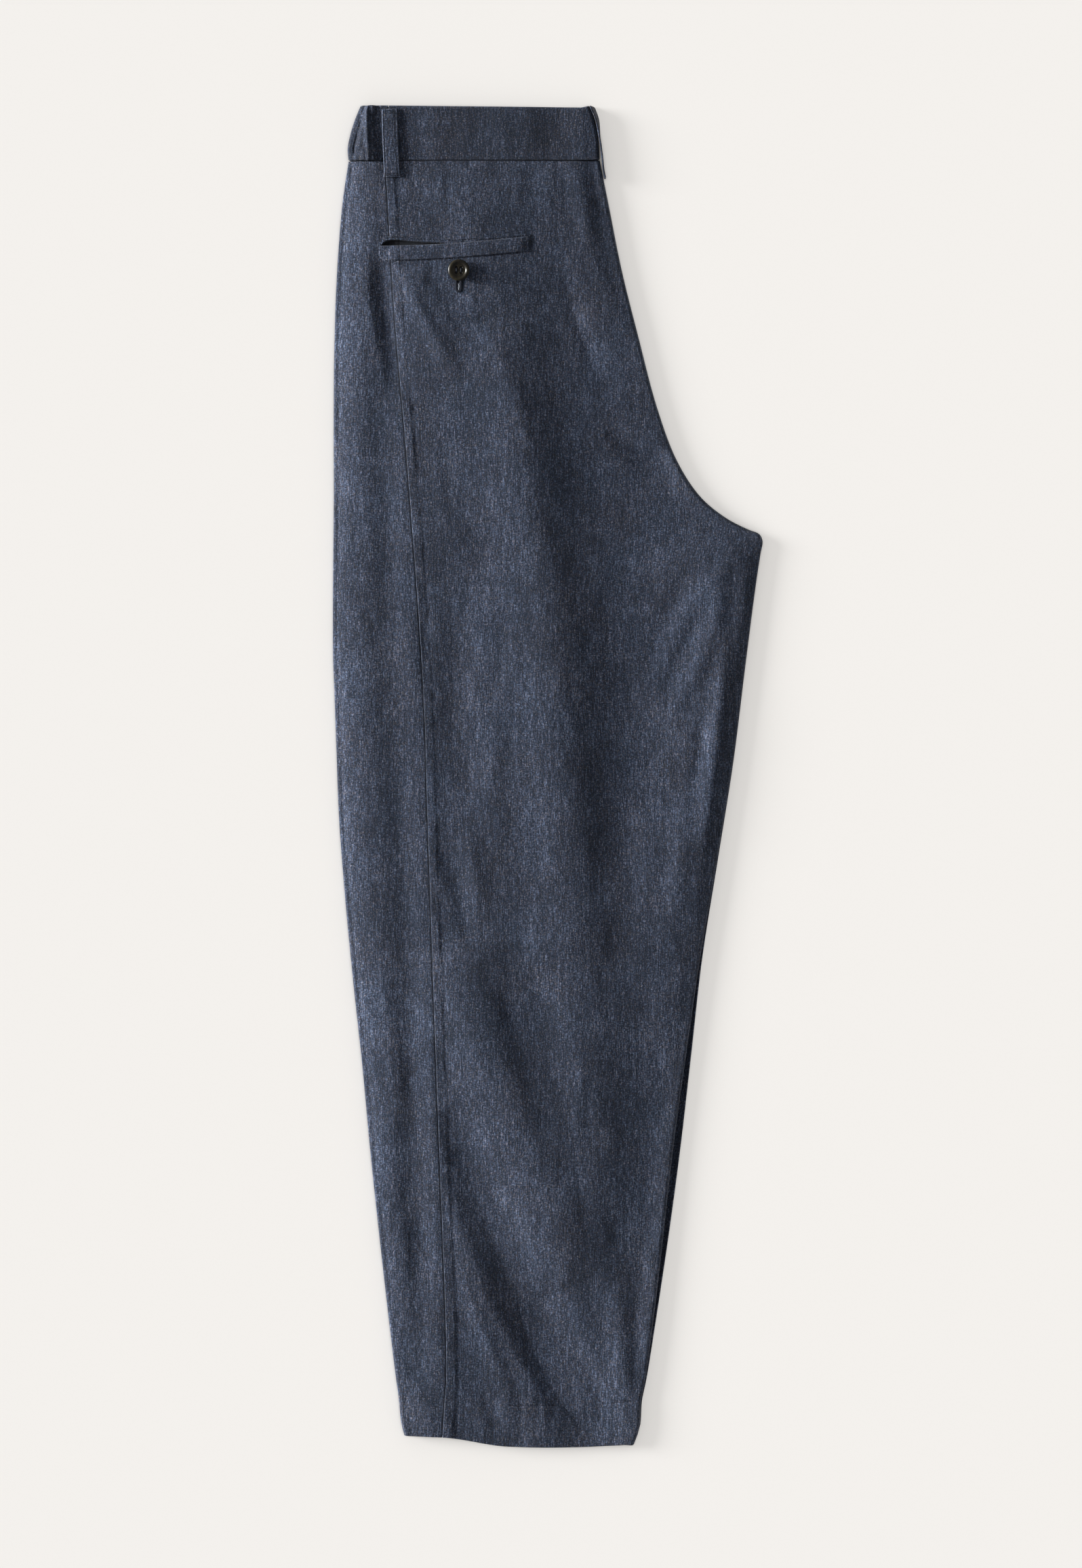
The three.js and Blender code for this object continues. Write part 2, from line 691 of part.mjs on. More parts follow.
// Two stitches through the four holes, bound below the button into a shank that passes through the slot.
function buttonThread() {
  const { thread, spacing } = buttonHoles;
  const top = button.thick - button.dishDepth + gap + thread;
  const shankBottom = -button.lift + gap;
  const pieces = holePlaces().map(([x, y]) =>
    new THREE.CylinderGeometry(thread, thread, top + gap + 0.2, 8)
      .rotateX(Math.PI / 2)
      .translate(x, y, (top - gap - 0.2) / 2),
  );
  for (const side of [-1, 1]) {
    const stitch = new THREE.CylinderGeometry(thread, thread, spacing + thread, 8);
    pieces.push(stitch.translate((side * spacing) / 2, 0, top));
  }
  const shankHeight = -gap - shankBottom;
  pieces.push(
    new THREE.BoxGeometry(shank.width, shank.length, shankHeight)
      .translate(0, 0, shankBottom + shankHeight / 2),
    new THREE.BoxGeometry(spacing + thread, shank.length, shank.collar)
      .translate(0, 0, -gap - shank.collar / 2),
  );
  return joined(pieces);
}

// A stitched slot, round at both ends, below the pocket: a ring that lies on the cloth.
function buttonholeRing() {
  const { x, top, bottom, width, slot, thick } = buttonhole;
  const turn = (width + slot) / 4;
  const path = range(24).slice(1).map((share) => {
    const angle = share * Math.PI * 2;
    const end = Math.sin(angle) > 0 ? top - turn : bottom + turn;
    return { centre: new THREE.Vector2(x + turn * Math.cos(angle), end + turn * Math.sin(angle)), angle };
  });
  const half = (width - slot) / 4;
  return closedRing(
    path.map(({ centre, angle }) =>
      [[-half, 0], [half, 0], [half, thick], [-half, thick]].map(([out, up]) => {
        const px = centre.x + out * Math.cos(angle);
        const py = centre.y + out * Math.sin(angle);
        return new THREE.Vector3(px, py, surfaceAt(px, py) + gap + up);
      }),
    ),
  );
}

// A folded strip over the waistband, fixed at both ends and standing off the cloth between them.
function sideBeltLoop() {
  const { x, slant, top, bottom, width, flare, stand } = sideLoop;
  const seat = (px, y) => Math.max(surfaceAt(px, y), surfaceAt(px, y + 1.2), surfaceAt(px, y - 1.2));
  const grid = (lift) =>
    range(14).map((share) => {
      const y = THREE.MathUtils.lerp(top, bottom, share);
      const middle = x + slant * share ** 1.5;
      const wide = width + flare * smooth(share, 0.9, 1);
      const clear = Math.max(...[-0.5, 0, 0.5].map((side) => seat(middle + side * wide, y)));
      const z = clear + loopGap + stand * Math.sin(Math.PI * share) ** 0.7 + lift;
      return range(4).map((side) => new THREE.Vector3(middle + (side - 0.5) * wide, y, z));
    });
  return sheet(grid(loopWall), grid(0));
}

// The centre back loop stands on edge at the right fold, bowed away from the band between its fixed ends.
// Its upper end leans in over the band.
function backBeltLoop() {
  const { line, low, high, thick, lean, leanFrom } = backLoop;
  const face = new THREE.CatmullRomCurve3(line.map(({ x, y }) => new THREE.Vector3(x, y, 0))).getPoints(12);
  const grid = (back) =>
    face.map(({ x, y }) =>
      range(3).map((share) => {
        const leaning = lean * share * smooth(y, leanFrom, line[0].y);
        return new THREE.Vector3(x - back - leaning, y, THREE.MathUtils.lerp(low, high, share));
      }),
    );
  return sheet(grid(0), grid(thick));
}

function mesh(name, geometry, colour, roughness, metalness = 0) {
  const material = new THREE.MeshStandardMaterial({ color: colour, roughness, metalness });
  const made = new THREE.Mesh(geometry, material);
  made.name = name;
  return made;
}

const denim = 0x3a4250;
const denimDark = 0x2c323d;
const horn = 0x2b2720;

const trousers = new THREE.Group();
trousers.add(
  mesh("back_panel_upper", backPanelUpper(), denim, 0.9),
  mesh("front_panel_upper", frontPanelUpper(), denim, 0.9),
  mesh("back_panel_lower", backPanelLower(), denim, 0.9),
  mesh("front_panel_lower", frontPanelLower(), denim, 0.9),
  mesh("folded_layers", foldedLayers(), denimDark, 0.95),
  mesh("waistband_back_upper", waistbandBackUpper(), denim, 0.9),
  mesh("waistband_side_upper", waistbandSideUpper(), denim, 0.9),
  mesh("waistband_lower", waistbandLower(), denim, 0.9),
  mesh("belt_loop_side", sideBeltLoop(), denim, 0.9),
  mesh("belt_loop_back", backBeltLoop(), denim, 0.9),
  mesh("pocket_welt", pocketWelt(), denim, 0.9),
  mesh("buttonhole", buttonholeRing(), denimDark, 0.85),
);

const fastening = new THREE.Group();
fastening.position.set(button.x, button.y, surfaceAt(button.x, button.y) + button.lift);
fastening.add(mesh("button", buttonGeometry(), horn, 0.35), mesh("button_thread", buttonThread(), denimDark, 0.8));
trousers.add(fastening);

export default trousers;
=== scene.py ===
import bpy
import numpy as np
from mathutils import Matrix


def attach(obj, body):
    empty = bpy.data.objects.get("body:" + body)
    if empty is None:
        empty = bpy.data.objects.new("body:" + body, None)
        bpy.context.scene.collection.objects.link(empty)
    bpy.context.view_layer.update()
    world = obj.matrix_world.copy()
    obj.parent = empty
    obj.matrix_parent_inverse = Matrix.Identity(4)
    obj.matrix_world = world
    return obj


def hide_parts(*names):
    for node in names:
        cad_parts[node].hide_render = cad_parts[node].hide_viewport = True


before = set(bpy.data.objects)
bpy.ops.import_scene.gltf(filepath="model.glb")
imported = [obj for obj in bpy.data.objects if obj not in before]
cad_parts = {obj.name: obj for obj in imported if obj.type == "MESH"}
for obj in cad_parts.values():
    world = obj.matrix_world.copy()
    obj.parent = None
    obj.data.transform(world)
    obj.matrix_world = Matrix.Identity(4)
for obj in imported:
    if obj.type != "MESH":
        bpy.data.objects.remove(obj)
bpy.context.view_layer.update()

# The layout that all the cloth shares: the edges, the walls, and how fast the cloth swells up from each edge
garment = {
    "gap": 0.3,
    "hemExtra": 0.5,
    "foldReach": 3.2,
    "foldTuck": 16,
    "rimReach": 6,
    "rimCurl": 2.6,
    "leftEase": 3.8,
    # how fast the cloth swells up from the right edge, at places down the leg
    "rightEase": {"y": [-480, -450, -400, -250, -150, -60, -40, 150, 210, 440],
                  "ease": [16, 22, 42, 44, 16, 12, 4, 7, 44, 48]},
    "calmLeft": 20,  # the big folds fade out this far from the left edge
    "calmRight": 16,
    "calmEdge": 7,  # and the fine ones this far from both
    "settle": 1.3,  # how far the cloth lies lower between its folds
    "lowerInset": 1.2,
    "fillGap": 1.3,
    "curlSteps": 8,
    "hemRow": 22,
    "hemRows": 24,
    "hemY": -448,
    "waistY": 445.3,
}

# Sections down the leg: leftX leftY rightX rightY inward seamX height peek inseam tucked
leg = {"plane": 4.3, "edge": 8.3, "wall": 1.4, "rows": np.array([
    [-144.0, 445.0, 37.6, 446.0, 188, -117.6, 11.6, 0.0, 0.0, 3.1],
    [-148.4, 415.0, 43.8, 415.0, 192, -115.8, 12.6, 0.0, 0.0, 3.1],
    [-152.3, 366.0, 53.4, 367.0, 193, -113.2, 12.8, 0.0, 0.0, 3.1],
    [-154.3, 312.0, 65.6, 318.0, 195, -109.5, 12.6, 0.0, 0.0, 3.1],
    [-154.8, 254.0, 79.4, 266.0, 200, -104.4, 12.6, 0.0, 0.0, 3.1],
    [-154.7, 205.0, 93.8, 228.0, 212, -100.6, 12.8, 0.0, 0.0, 3.1],
    [-155.0, 170.0, 110.6, 202.5, 226, -98.0, 12.8, 0.0, 0.0, 3.1],
    [-155.3, 142.0, 129.0, 187.3, 236, -96.0, 12.8, 0.0, 0.0, 3.1],
    [-155.4, 120.0, 145.0, 179.0, 242, -94.6, 12.8, 0.0, 0.0, 3.1],
    [-155.4, 106.0, 153.0, 175.6, 226, -93.7, 12.8, 0.0, 0.1, 3.1],
    [-155.4, 96.0, 155.4, 170.5, 196, -93.1, 12.8, 0.0, 0.4, 3.1],
    [-155.2, 84.0, 153.8, 161.0, 177, -92.4, 12.8, 0.0, 0.8, 3.1],
    [-154.2, 58.0, 149.6, 133.0, 172, -90.8, 12.8, 0.2, 1.0, 3.1],
    [-152.8, 18.0, 142.6, 80.0, 173, -88.8, 12.8, 0.4, 1.0, 1.1],
    [-150.8, -32.0, 133.7, 10.0, 171, -87.4, 12.8, 0.5, 1.0, 1.1],
    [-146.3, -90.0, 122.3, -60.0, 171, -85.3, 12.8, 0.8, 1.0, 1.1],
    [-140.5, -150.0, 110.1, -132.0, 171, -83.2, 12.6, 1.6, 1.0, 1.1],
    [-134.0, -210.0, 100.2, -200.0, 171, -81.0, 12.2, 3.7, 1.0, 1.1],
    [-128.4, -270.0, 91.2, -265.0, 172, -78.7, 12.0, 5.2, 1.0, 1.1],
    [-122.0, -330.0, 84.0, -328.0, 173, -76.4, 11.6, 4.0, 1.0, 1.1],
    [-115.2, -390.0, 76.7, -391.0, 173, -74.2, 10.8, 1.9, 1.0, 1.1],
    [-110.0, -433.0, 70.4, -436.0, 172, -73.6, 10.2, 1.0, 1.0, 1.1],
    [-107.9, -448.0, 67.4, -451.5, 174, -74.6, 10.0, 0.8, 1.0, 1.1],
    [-105.9, -467.0, 66.2, -470.0, 176, -75.8, 9.8, 0.6, 1.0, 1.1],
    [-103.6, -476.4, 61.8, -483.4, 168, -76.4, 9.6, 0.4, 1.0, 1.1],
])}

# The same columns for the waistband, from its seam to its top edge
band = {"plane": 5.1, "edge": 10.2, "wall": 2.0, "rows": np.array([
    [-144.0, 445.3, 37.6, 446.3, 184, -116.0, 12.6, 0.0, 0.0, 3.1],
    [-144.6, 454.0, 37.2, 455.0, 184, -115.8, 12.7, 0.0, 0.0, 3.1],
    [-142.8, 464.0, 36.2, 464.5, 186, -115.6, 12.7, 0.0, 0.0, 3.1],
    [-139.4, 475.0, 33.8, 475.5, 190, -115.4, 12.5, 0.0, 0.0, 3.1],
    [-135.2, 485.2, 30.4, 485.2, 194, -115.2, 12.3, 0.0, 0.0, 3.1],
])}

hemDip = {"depth": 5, "start": 0.16, "deepest": 0.46, "startY": -300, "fullY": -440}

# Soft folds of the upper leg: fromX fromY bendX bendY toX toY leftSpread rightSpread rise.
# Left and right are as seen when going from the first point to the last.
folds = [
    [-72, 520, -52, 0, -50, -560, 46, 80, 2.7],  # the whole leg's dome
    [-44, 456, -42, 320, -20, 170, 26, 60, 2.6],  # seat dome
    [-36, 330, 13, 110, 18, -130, 18, 20, 5.2],  # thigh ridge
    [74, 240, 72, 60, 52, -160, 28, 26, -2.6],  # thigh trough
    [131, 112, 126, 20, 108, -125, 15, 5, 1.6],  # inseam ridge
    [20, -90, 38, -210, 30, -370, 17, 28, 3.2],  # shin ridge
    [-121, 384, -120, 336, -107, 272, 7, 7, -1.8],  # hip trough
    [-99, 366, -86, 336, -62, 292, 7, 8, 2.2],  # drag from the pocket
    [12, 396, 12, 335, 48, 268, 6, 14, -0.8],  # seat drag
    [18, 446, 22, 420, 32, 384, 8, 5, 1.1],  # drape from the band
    [-70, 150, -52, 50, -64, -45, 11, 11, -1.4],  # knee hollow
    [-70, -45, -64, -92, -46, -130, 7, 7, -0.9],  # small knee trough
    [-74, -118, -52, -190, -6, -250, 10, 18, 0.9],  # knee ridge
    [-32, -118, -18, -170, 4, -236, 12, 9, -0.2],  # knee trough
    [-60, -122, -34, -226, 20, -365, 16, 24, 3.7],  # long lit diagonal
    [-88, -230, -70, -340, 8, -490, 10, 15, 2.2],  # shin crease's ridge
    [-68, -240, -36, -345, 60, -505, 14, 46, -3.4],  # shin crease's trough
    [88, -190, 90, -320, 68, -430, 24, 30, -1.2],  # hollow at the calf
    [44, -352, 62, -400, 58, -462, 8, 8, 0.9],  # ankle ridge
    [-121, 330, -113, 90, -106, -70, 8, 8, -1.2],  # hollow beside the side seam
    [-106, 0, -99, -240, -90, -474, 7, 7, -1.6],  # the same, lower down
    [-22, -372, 8, -430, 44, -474, 12, 14, -1.5],  # the shin crease's wide end
    [-78, -330, -74, -410, -76, -540, 9, 18, 0.8],  # ridge beside it at the hem
]

# Finer creases that lie on the folds, in the same columns
creases = [
    [-131, 374, -128, 335, -118, 282, 4, 3, 0.8],  # beside the side seam, below the pocket
    [-123, 380, -118, 335, -109, 276, 3, 3, -0.6],
    [-96, 356, -82, 331, -58, 300, 3, 4, -1.0],
    [-106, 368, -96, 345, -72, 298, 3, 3, 0.8],
    [-60, 440, -52, 396, -50, 352, 9, 7, 0.5],  # seat
    [-98, 440, -76, 420, -50, 396, 8, 8, 0.5],
    [22, 446, 26, 418, 31, 398, 4, 4, 0.4],
    [32, 444, 36, 420, 40, 402, 4, 4, -0.5],
    [-2, 440, 2, 424, 4, 396, 5, 5, 0.4],
    [6, 376, 13, 335, 40, 290, 4, 4, -0.6],
    [26, 402, 34, 362, 50, 330, 5, 5, 0.5],
    [-40, 330, -30, 290, -12, 244, 5, 7, 0.6],
    [-62, 300, -40, 270, -16, 236, 4, 5, -0.4],
    [44, 250, 64, 230, 104, 226, 4, 6, -2.0],  # crease at the seat's edge
    [52, 258, 78, 244, 104, 233, 4, 3, 0.6],
    [-89, 142, -88, 100, -87, 58, 3, 3, -0.6],  # beside the side seam at the thigh
    [-72, 130, -66, 60, -72, 0, 6, 6, -0.6],
    [-60, 120, -40, 20, -38, -80, 8, 8, 0.5],
    [138, 164, 112, 132, 86, 84, 4, 5, 0.9],  # crotch
    [128, 144, 122, 84, 82, 38, 4, 5, 1.1],
    [134, 152, 130, 110, 132, 66, 5, 4, -0.7],
    [112, 134, 104, 104, 84, 62, 4, 4, -0.8],
    [104, 152, 84, 120, 72, 76, 5, 4, -0.6],
    [126, 70, 122, 10, 108, -56, 4, 5, 1.0],  # inner thigh
    [112, 52, 110, 14, 104, -22, 3, 3, -0.8],
    [100, -10, 98, -66, 88, -120, 6, 5, 0.7],
    [74, -30, 72, -80, 66, -150, 7, 6, 0.5],
    [-56, -36, -53, -66, -51, -94, 3, 4, 0.8],  # knee
    [-77, -46, -67, -82, -56, -118, 3.4, 4, -0.6],
    [-78, -136, -58, -180, -38, -226, 5, 5, 0.6],
    [-30, -150, -22, -200, -10, -232, 5, 5, -0.5],
    [14, -110, 16, -170, 22, -236, 10, 8, 0.6],
    [-84, -256, -70, -322, -38, -372, 4, 4, 0.7],  # shin
    [-60, -340, -40, -392, -6, -446, 4, 5, 0.8],
    [-66, -262, -48, -318, -26, -362, 4, 5, -0.6],
    [-34, -356, -6, -406, 34, -470, 6, 10, -1.4],
    [-62, -358, -51, -392, -29, -442, 2.6, 2.6, 0.6],
    [-44, -372, -32, -400, -14, -446, 3, 3, -0.5],
    [48, -374, 57, -404, 52, -452, 3, 4, 0.6],
    [62, -380, 66, -410, 62, -450, 3, 3, -0.3],
    [-86, -120, -84, -240, -78, -360, 3, 3, 0.4],  # along the side seam
    [-90, -440, -88, -456, -88, -474, 4, 4, 0.6],  # hem
    [-50, -446, -47, -460, -48, -480, 2, 2, 0.5],
    [-40, -448, -38, -462, -40, -480, 2, 2, -0.4],
    [-31, -444, -28, -462, -30, -482, 2, 2, 0.5],
    [-20, -448, -19, -462, -21, -480, 2, 2, -0.4],
    [26, -440, 28, -462, 26, -486, 5, 5, -0.4],
]

# Soft unevenness of the waistband in the same columns
bandFolds = [
    [-34, 490, -32, 470, -30, 440, 12, 10, 0.5],
    [10, 492, 8, 470, 4, 440, 9, 9, -1.0],
    [20, 488, 20, 470, 24, 440, 6, 6, 0.4],
    [-82, 488, -84, 468, -80, 442, 14, 14, 0.3],
    [-101, 484, -102, 466, -104, 440, 4, 5, -0.4],
]

# Gathers of the elasticated waistband: topX bottomX spread rise
gathers = [
    [-131.8, -143.0, 1.3, -1.4],
    [-131.0, -130.0, 4.6, 1.8],
    [-130.9, -129.7, 0.9, 0.9],
    [-126.6, -126.0, 0.9, 0.5],
    [-124.4, -123.2, 0.8, -0.5],
]

# The pocket's welt and mouth and the side belt loop, which shape the cloth under them too
welt = {
    "left": -122, "right": -13.5, "leftY": 378.2, "rightY": 385.2, "sag": 1.6,
    "width": 10.4, "thick": 0.9, "corner": 4.9, "lift": 0.1,
}
mouth = {"left": -120.5, "right": -64, "height": 5.6, "depth": 3.0}
sideLoop = {
    "x": -114.3, "slant": 2.0, "top": 482.4, "bottom": 432.8,
    "width": 11.4, "flare": 1.2, "stand": 0.9,
    "seam": 0.13,  # where its stitches run, as a share of its width from each edge
}


# From 0 at low to 1 at high by the smooth step 3s^2 - 2s^3, and level beyond both.
def smooth(value, low, high):
    share = np.clip((value - low) / (high - low), 0, 1)
    return share * share * (3 - 2 * share)


# Cubics between neighbouring points, with the slope at each from the square roots of the distances
# to its neighbours (a centripetal Catmull-Rom curve).
def curveThrough(points, t):
    padded = np.vstack([2 * points[0] - points[1], points, 2 * points[-1] - points[-2]])
    at = np.clip(t, 0, 1) * (len(points) - 1)
    k = np.minimum(at.astype(int), len(points) - 2)
    w = (at - k)[..., None]
    p0, p1, p2, p3 = (padded[k + step] for step in range(4))
    neighbours = ((p0, p1), (p1, p2), (p2, p3))
    d0, d1, d2 = (np.sqrt(np.linalg.norm(b - a, axis=-1, keepdims=True)) for a, b in neighbours)
    m1 = ((p1 - p0) / d0 - (p2 - p0) / (d0 + d1) + (p2 - p1) / d1) * d1
    m2 = ((p2 - p1) / d1 - (p3 - p1) / (d1 + d2) + (p3 - p2) / d2) * d1
    return hermite(p1, p2, m1, m2, w)


# The cubic in w, from 0 to 1, that joins two values with a given slope at each.
def hermite(start, end, startSlope, endSlope, w):
    return (
        start * (2 * w**3 - 3 * w**2 + 1) + startSlope * (w**3 - 2 * w**2 + w)
        + end * (3 * w**2 - 2 * w**3) + endSlope * (w**3 - w**2)
    )


# The same for one column of numbers, evenly spaced, held at its ends.
def columnThrough(values, t):
    held = np.concatenate([values[:1], values, values[-1:]])
    at = np.clip(t, 0, 1) * (len(values) - 1)
    k = np.minimum(at.astype(int), len(values) - 2)
    v0, v1, v2, v3 = (held[k + step] for step in range(4))
    return hermite(v1, v2, (v2 - v0) / 2, (v3 - v1) / 2, at - k)


# A section of the garment at each place t, 0 at the layout's first row and 1 at its last.
def sectionAt(layout, t):
    rows = layout["rows"]
    t = np.asarray(t, float)
    left = curveThrough(rows[:, 0:2], t)
    right = curveThrough(rows[:, 2:4], t)
    inward = np.radians(columnThrough(rows[:, 4], t))
    outward = -np.stack([np.cos(inward), np.sin(inward)], axis=-1)
    inner = right - outward * garment["rimReach"]
    span = np.linalg.norm(inner - left, axis=-1)
    seamX = columnThrough(rows[:, 5], t)
    return {
        "layout": layout,
        "t": t,
        "left": left,
        "inner": inner,
        "outward": outward,
        "span": span,
        "width": span + garment["rimReach"],
        "seam": (seamX - left[..., 0]) / (inner[..., 0] - left[..., 0]) * span,
        "height": columnThrough(rows[:, 6], t),
        "peek": columnThrough(rows[:, 7], t),
        "inseam": np.clip(columnThrough(rows[:, 8], t), 0, 1),
        "tucked": np.maximum(columnThrough(rows[:, 9], t), 1.1),
        "belowHem": garment["hemY"] - left[..., 1] if layout is leg else np.full(t.shape, -900.0),
    }


# Plan position at a distance across a section: straight to just inside the right edge, then out to it.
def planPoint(section, across):
    share = np.minimum(across / section["span"], 1)[..., None]
    point = section["left"] + (section["inner"] - section["left"]) * share
    point = point + section["outward"] * np.maximum(across - section["span"], 0)[..., None]
    place = across / section["width"]
    dip = smooth(place, hemDip["start"], hemDip["deepest"]) * (1 - np.maximum(place * 2 - 1, 0) ** 2)
    x, y = point[..., 0], point[..., 1]
    y = y - hemDip["depth"] * np.maximum(dip, 0) * (1 - smooth(y, hemDip["fullY"], hemDip["startY"]))
    return x, y


# Height of soft folds: each is its rise, times a bell of the distance from a curve with one bend,
# times an arch along it that starts and ends at nothing.
def foldHeight(rows, x, y):
    total = np.zeros(np.shape(x))
    along = np.linspace(0, 1, 15)[:, None]
    for row in rows:
        a, b, c = np.reshape(row[:6], (3, 2))
        leftSpread, rightSpread, rise = row[6:]
        path = a * (1 - along) ** 2 + b * 2 * along * (1 - along) + c * along**2
        reach = 3.2 * max(leftSpread, rightSpread)
        near = (x > path[:, 0].min() - reach) & (x < path[:, 0].max() + reach)
        near &= (y > path[:, 1].min() - reach) & (y < path[:, 1].max() + reach)
        if not near.any():
            continue
        point = np.stack([x[near], y[near]], axis=-1)[:, None]
        run = path[1:] - path[:-1]
        offset = point - path[:-1]
        share = np.clip((offset * run).sum(-1) / (run**2).sum(-1), 0, 1)
        away = offset - run * share[..., None]
        distance = np.linalg.norm(away, axis=-1)
        k = distance.argmin(axis=1)
        pick = np.arange(len(k)), k
        side = run[k, 0] * away[pick][:, 1] - run[k, 1] * away[pick][:, 0]
        spread = np.where(side > 0, leftSpread, rightSpread)
        place = (k + share[pick]) / len(run)
        arch = np.sqrt(np.maximum(4 * place * (1 - place), 0))
        total[near] += rise * arch * np.exp(-((distance[pick] / spread) ** 2) / 2)
    return total


# Even cloud-like unevenness between about -1 and 1: random heights on a lattice, joined smoothly.
def unevenness(x, y, seed, sizeX, sizeY):
    lattice = np.random.default_rng(seed).uniform(-1, 1, (128, 128))
    u, v = x / sizeX + 57.3, y / sizeY + 61.7
    i, j = np.floor(u).astype(int), np.floor(v).astype(int)
    f, g = u - i, v - j
    f, g = f * f * f * (f * (f * 6 - 15) + 10), g * g * g * (g * (g * 6 - 15) + 10)
    i, j = i % 127, j % 127
    top = lattice[i, j] * (1 - f) + lattice[i + 1, j] * f
    bottom = lattice[i, j + 1] * (1 - f) + lattice[i + 1, j + 1] * f
    return top * (1 - g) + bottom * g


# Short faint creases strewn over the leg, mostly along it and leaning the way that the big folds run.
def strewnCreases(seed, count):
    draw = np.random.default_rng(seed)
    x = draw.uniform(-150, 150, count)
    y = draw.uniform(-480, 440, count)
    lean = np.radians(draw.normal(-14, 24, count))
    half = draw.uniform(9, 34, count)
    dx, dy = -np.sin(lean) * half, -np.cos(lean) * half
    bend = draw.normal(0, 0.16, count) * half
    spread = draw.uniform(1.8, 4.6, count)
    rise = draw.uniform(0.08, 0.34, count) * draw.choice([-1, 1], count)
    columns = [x - dx, y - dy, x + bend, y, x + dx, y + dy, spread, spread * 1.2, rise]
    return np.stack(columns, axis=-1)


strewn = strewnCreases(11, 420)


# The welt's middle line: straight between its two ends, less half a sine wave of sag.
def weltLine(x):
    share = (x - welt["left"]) / (welt["right"] - welt["left"])
    middle = welt["leftY"] + (welt["rightY"] - welt["leftY"]) * share
    return middle - welt["sag"] * np.sin(np.pi * np.clip(share, 0, 1))


# How far the pocket gapes above the welt: it opens fast at the left end and closes slowly to the right.
def gape(x):
    share = np.clip((x - mouth["left"]) / (mouth["right"] - mouth["left"]), 0, 1)
    return mouth["height"] * (1 - np.exp(-share * 14)) * (1 - share) ** 1.4


# The panel sinks where the mouth is, under the mouth's own piece.
def mouthSink(x, y):
    above = y - weltLine(x) - welt["width"] / 2
    opening = gape(x)
    inside = smooth(x, mouth["left"] - 1, mouth["left"] + 2)
    inside = inside * (1 - smooth(x, mouth["right"] - 4, mouth["right"]))
    upTo = 1 - smooth(above, opening - 0.4, opening + 0.8)
    return -mouth["depth"] * inside * smooth(above, -4, -1.5) * upTo


seamLook = {"allowance": 6.2, "widerLowDown": 1.2, "rise": 0.27, "dip": 0.04, "deeperLowDown": 0.16,
            "roll": 0.14, "rollReach": 2.2}


# The side seam: the back panel is raised over the seam allowance for 6 to 7 mm, unevenly, dips a little past
# its edge, and the front panel rolls down into the seam.
def seamForm(section, across, y):
    past = across - section["seam"]
    allowance = seamLook["allowance"] + seamLook["widerLowDown"] * smooth(-y, 250, 450)
    wobble = 1 + 0.8 * unevenness(y, past * 0, 5, 9, 9) + 0.7 * unevenness(y, past, 6, 3.4, 5)
    over = 1 - smooth(past, allowance - 0.9, allowance + 1.5)
    raised = seamLook["rise"] * smooth(past, -0.1, 0.5) * over * wobble
    dip = seamLook["dip"] + seamLook["deeperLowDown"] * smooth(-y, 200, 420)
    beyond = -dip * np.exp(-(((past - allowance - 1.6) / 1.3) ** 2))
    before = -seamLook["roll"] * np.exp(np.minimum(past, 0) / seamLook["rollReach"]) * (past < 0)
    return raised + beyond + before


hemLook = {"groove": 0.55, "grooveWidth": 1.0, "pucker": 0.42, "puckerReach": 9}


# The hem: thicker below its stitches, a small groove along them, and puckers that fade on both sides.
def hemForm(section, x):
    below = section["belowHem"] + 0 * x
    step = garment["hemExtra"] * smooth(below, -0.4, 1.4)
    groove = -hemLook["groove"] * np.exp(-((below / hemLook["grooveWidth"]) ** 2))
    pucker = unevenness(x, below, 8, 4.6, 30) + 0.6 * unevenness(x, below, 9, 2.9, 14)
    return step + groove + hemLook["pucker"] * pucker * np.exp(-(np.abs(below) / hemLook["puckerReach"]))


# Height of the outer surface across a section: the edge's height, a swell that nears the section's own
# height by an exponential from each side, and the folds, creases and seams on top, which fade at the edges.
def outerHeight(section, across):
    layout = section["layout"]
    fromLeft = np.maximum(across - garment["foldReach"], 0)
    fromRight = np.maximum(section["width"] - garment["rimCurl"] - across, 0)
    x, y = planPoint(section, across)
    rightEase = np.interp(y, garment["rightEase"]["y"], garment["rightEase"]["ease"])
    swell = (1 - np.exp(-fromLeft / garment["leftEase"])) * (1 - np.exp(-fromRight / rightEase))
    settle = garment["settle"] if layout is leg else 0
    height = layout["edge"] + (section["height"] - settle - layout["edge"]) * swell
    calmEdge = garment["calmEdge"]
    edges = smooth(fromLeft, 0, calmEdge) * smooth(fromRight, 0, calmEdge)
    if layout is band:
        soft = foldHeight(bandFolds, x, y) + 0.16 * unevenness(x, y, 21, 11, 26)
        return height + edges * (soft + 0.05 * unevenness(x, y, 22, 3.4, 12)) + gathered(section, across, x)
    calm = smooth(fromLeft, 0, garment["calmLeft"]) * smooth(fromRight, 0, garment["calmRight"])
    fine = foldHeight(creases, x, y) + foldHeight(strewn, x, y)
    fine += 0.30 * unevenness(x, y, 31, 34, 60) + 0.12 * unevenness(x + 0.3 * y, y, 32, 9, 24)
    fine += 0.04 * unevenness(x + 0.2 * y, y, 33, 3.6, 9)
    return (
        height + calm * foldHeight(folds, x, y) + edges * (fine + seamForm(section, across, y))
        + hemForm(section, x) + mouthSink(x, y)
    )


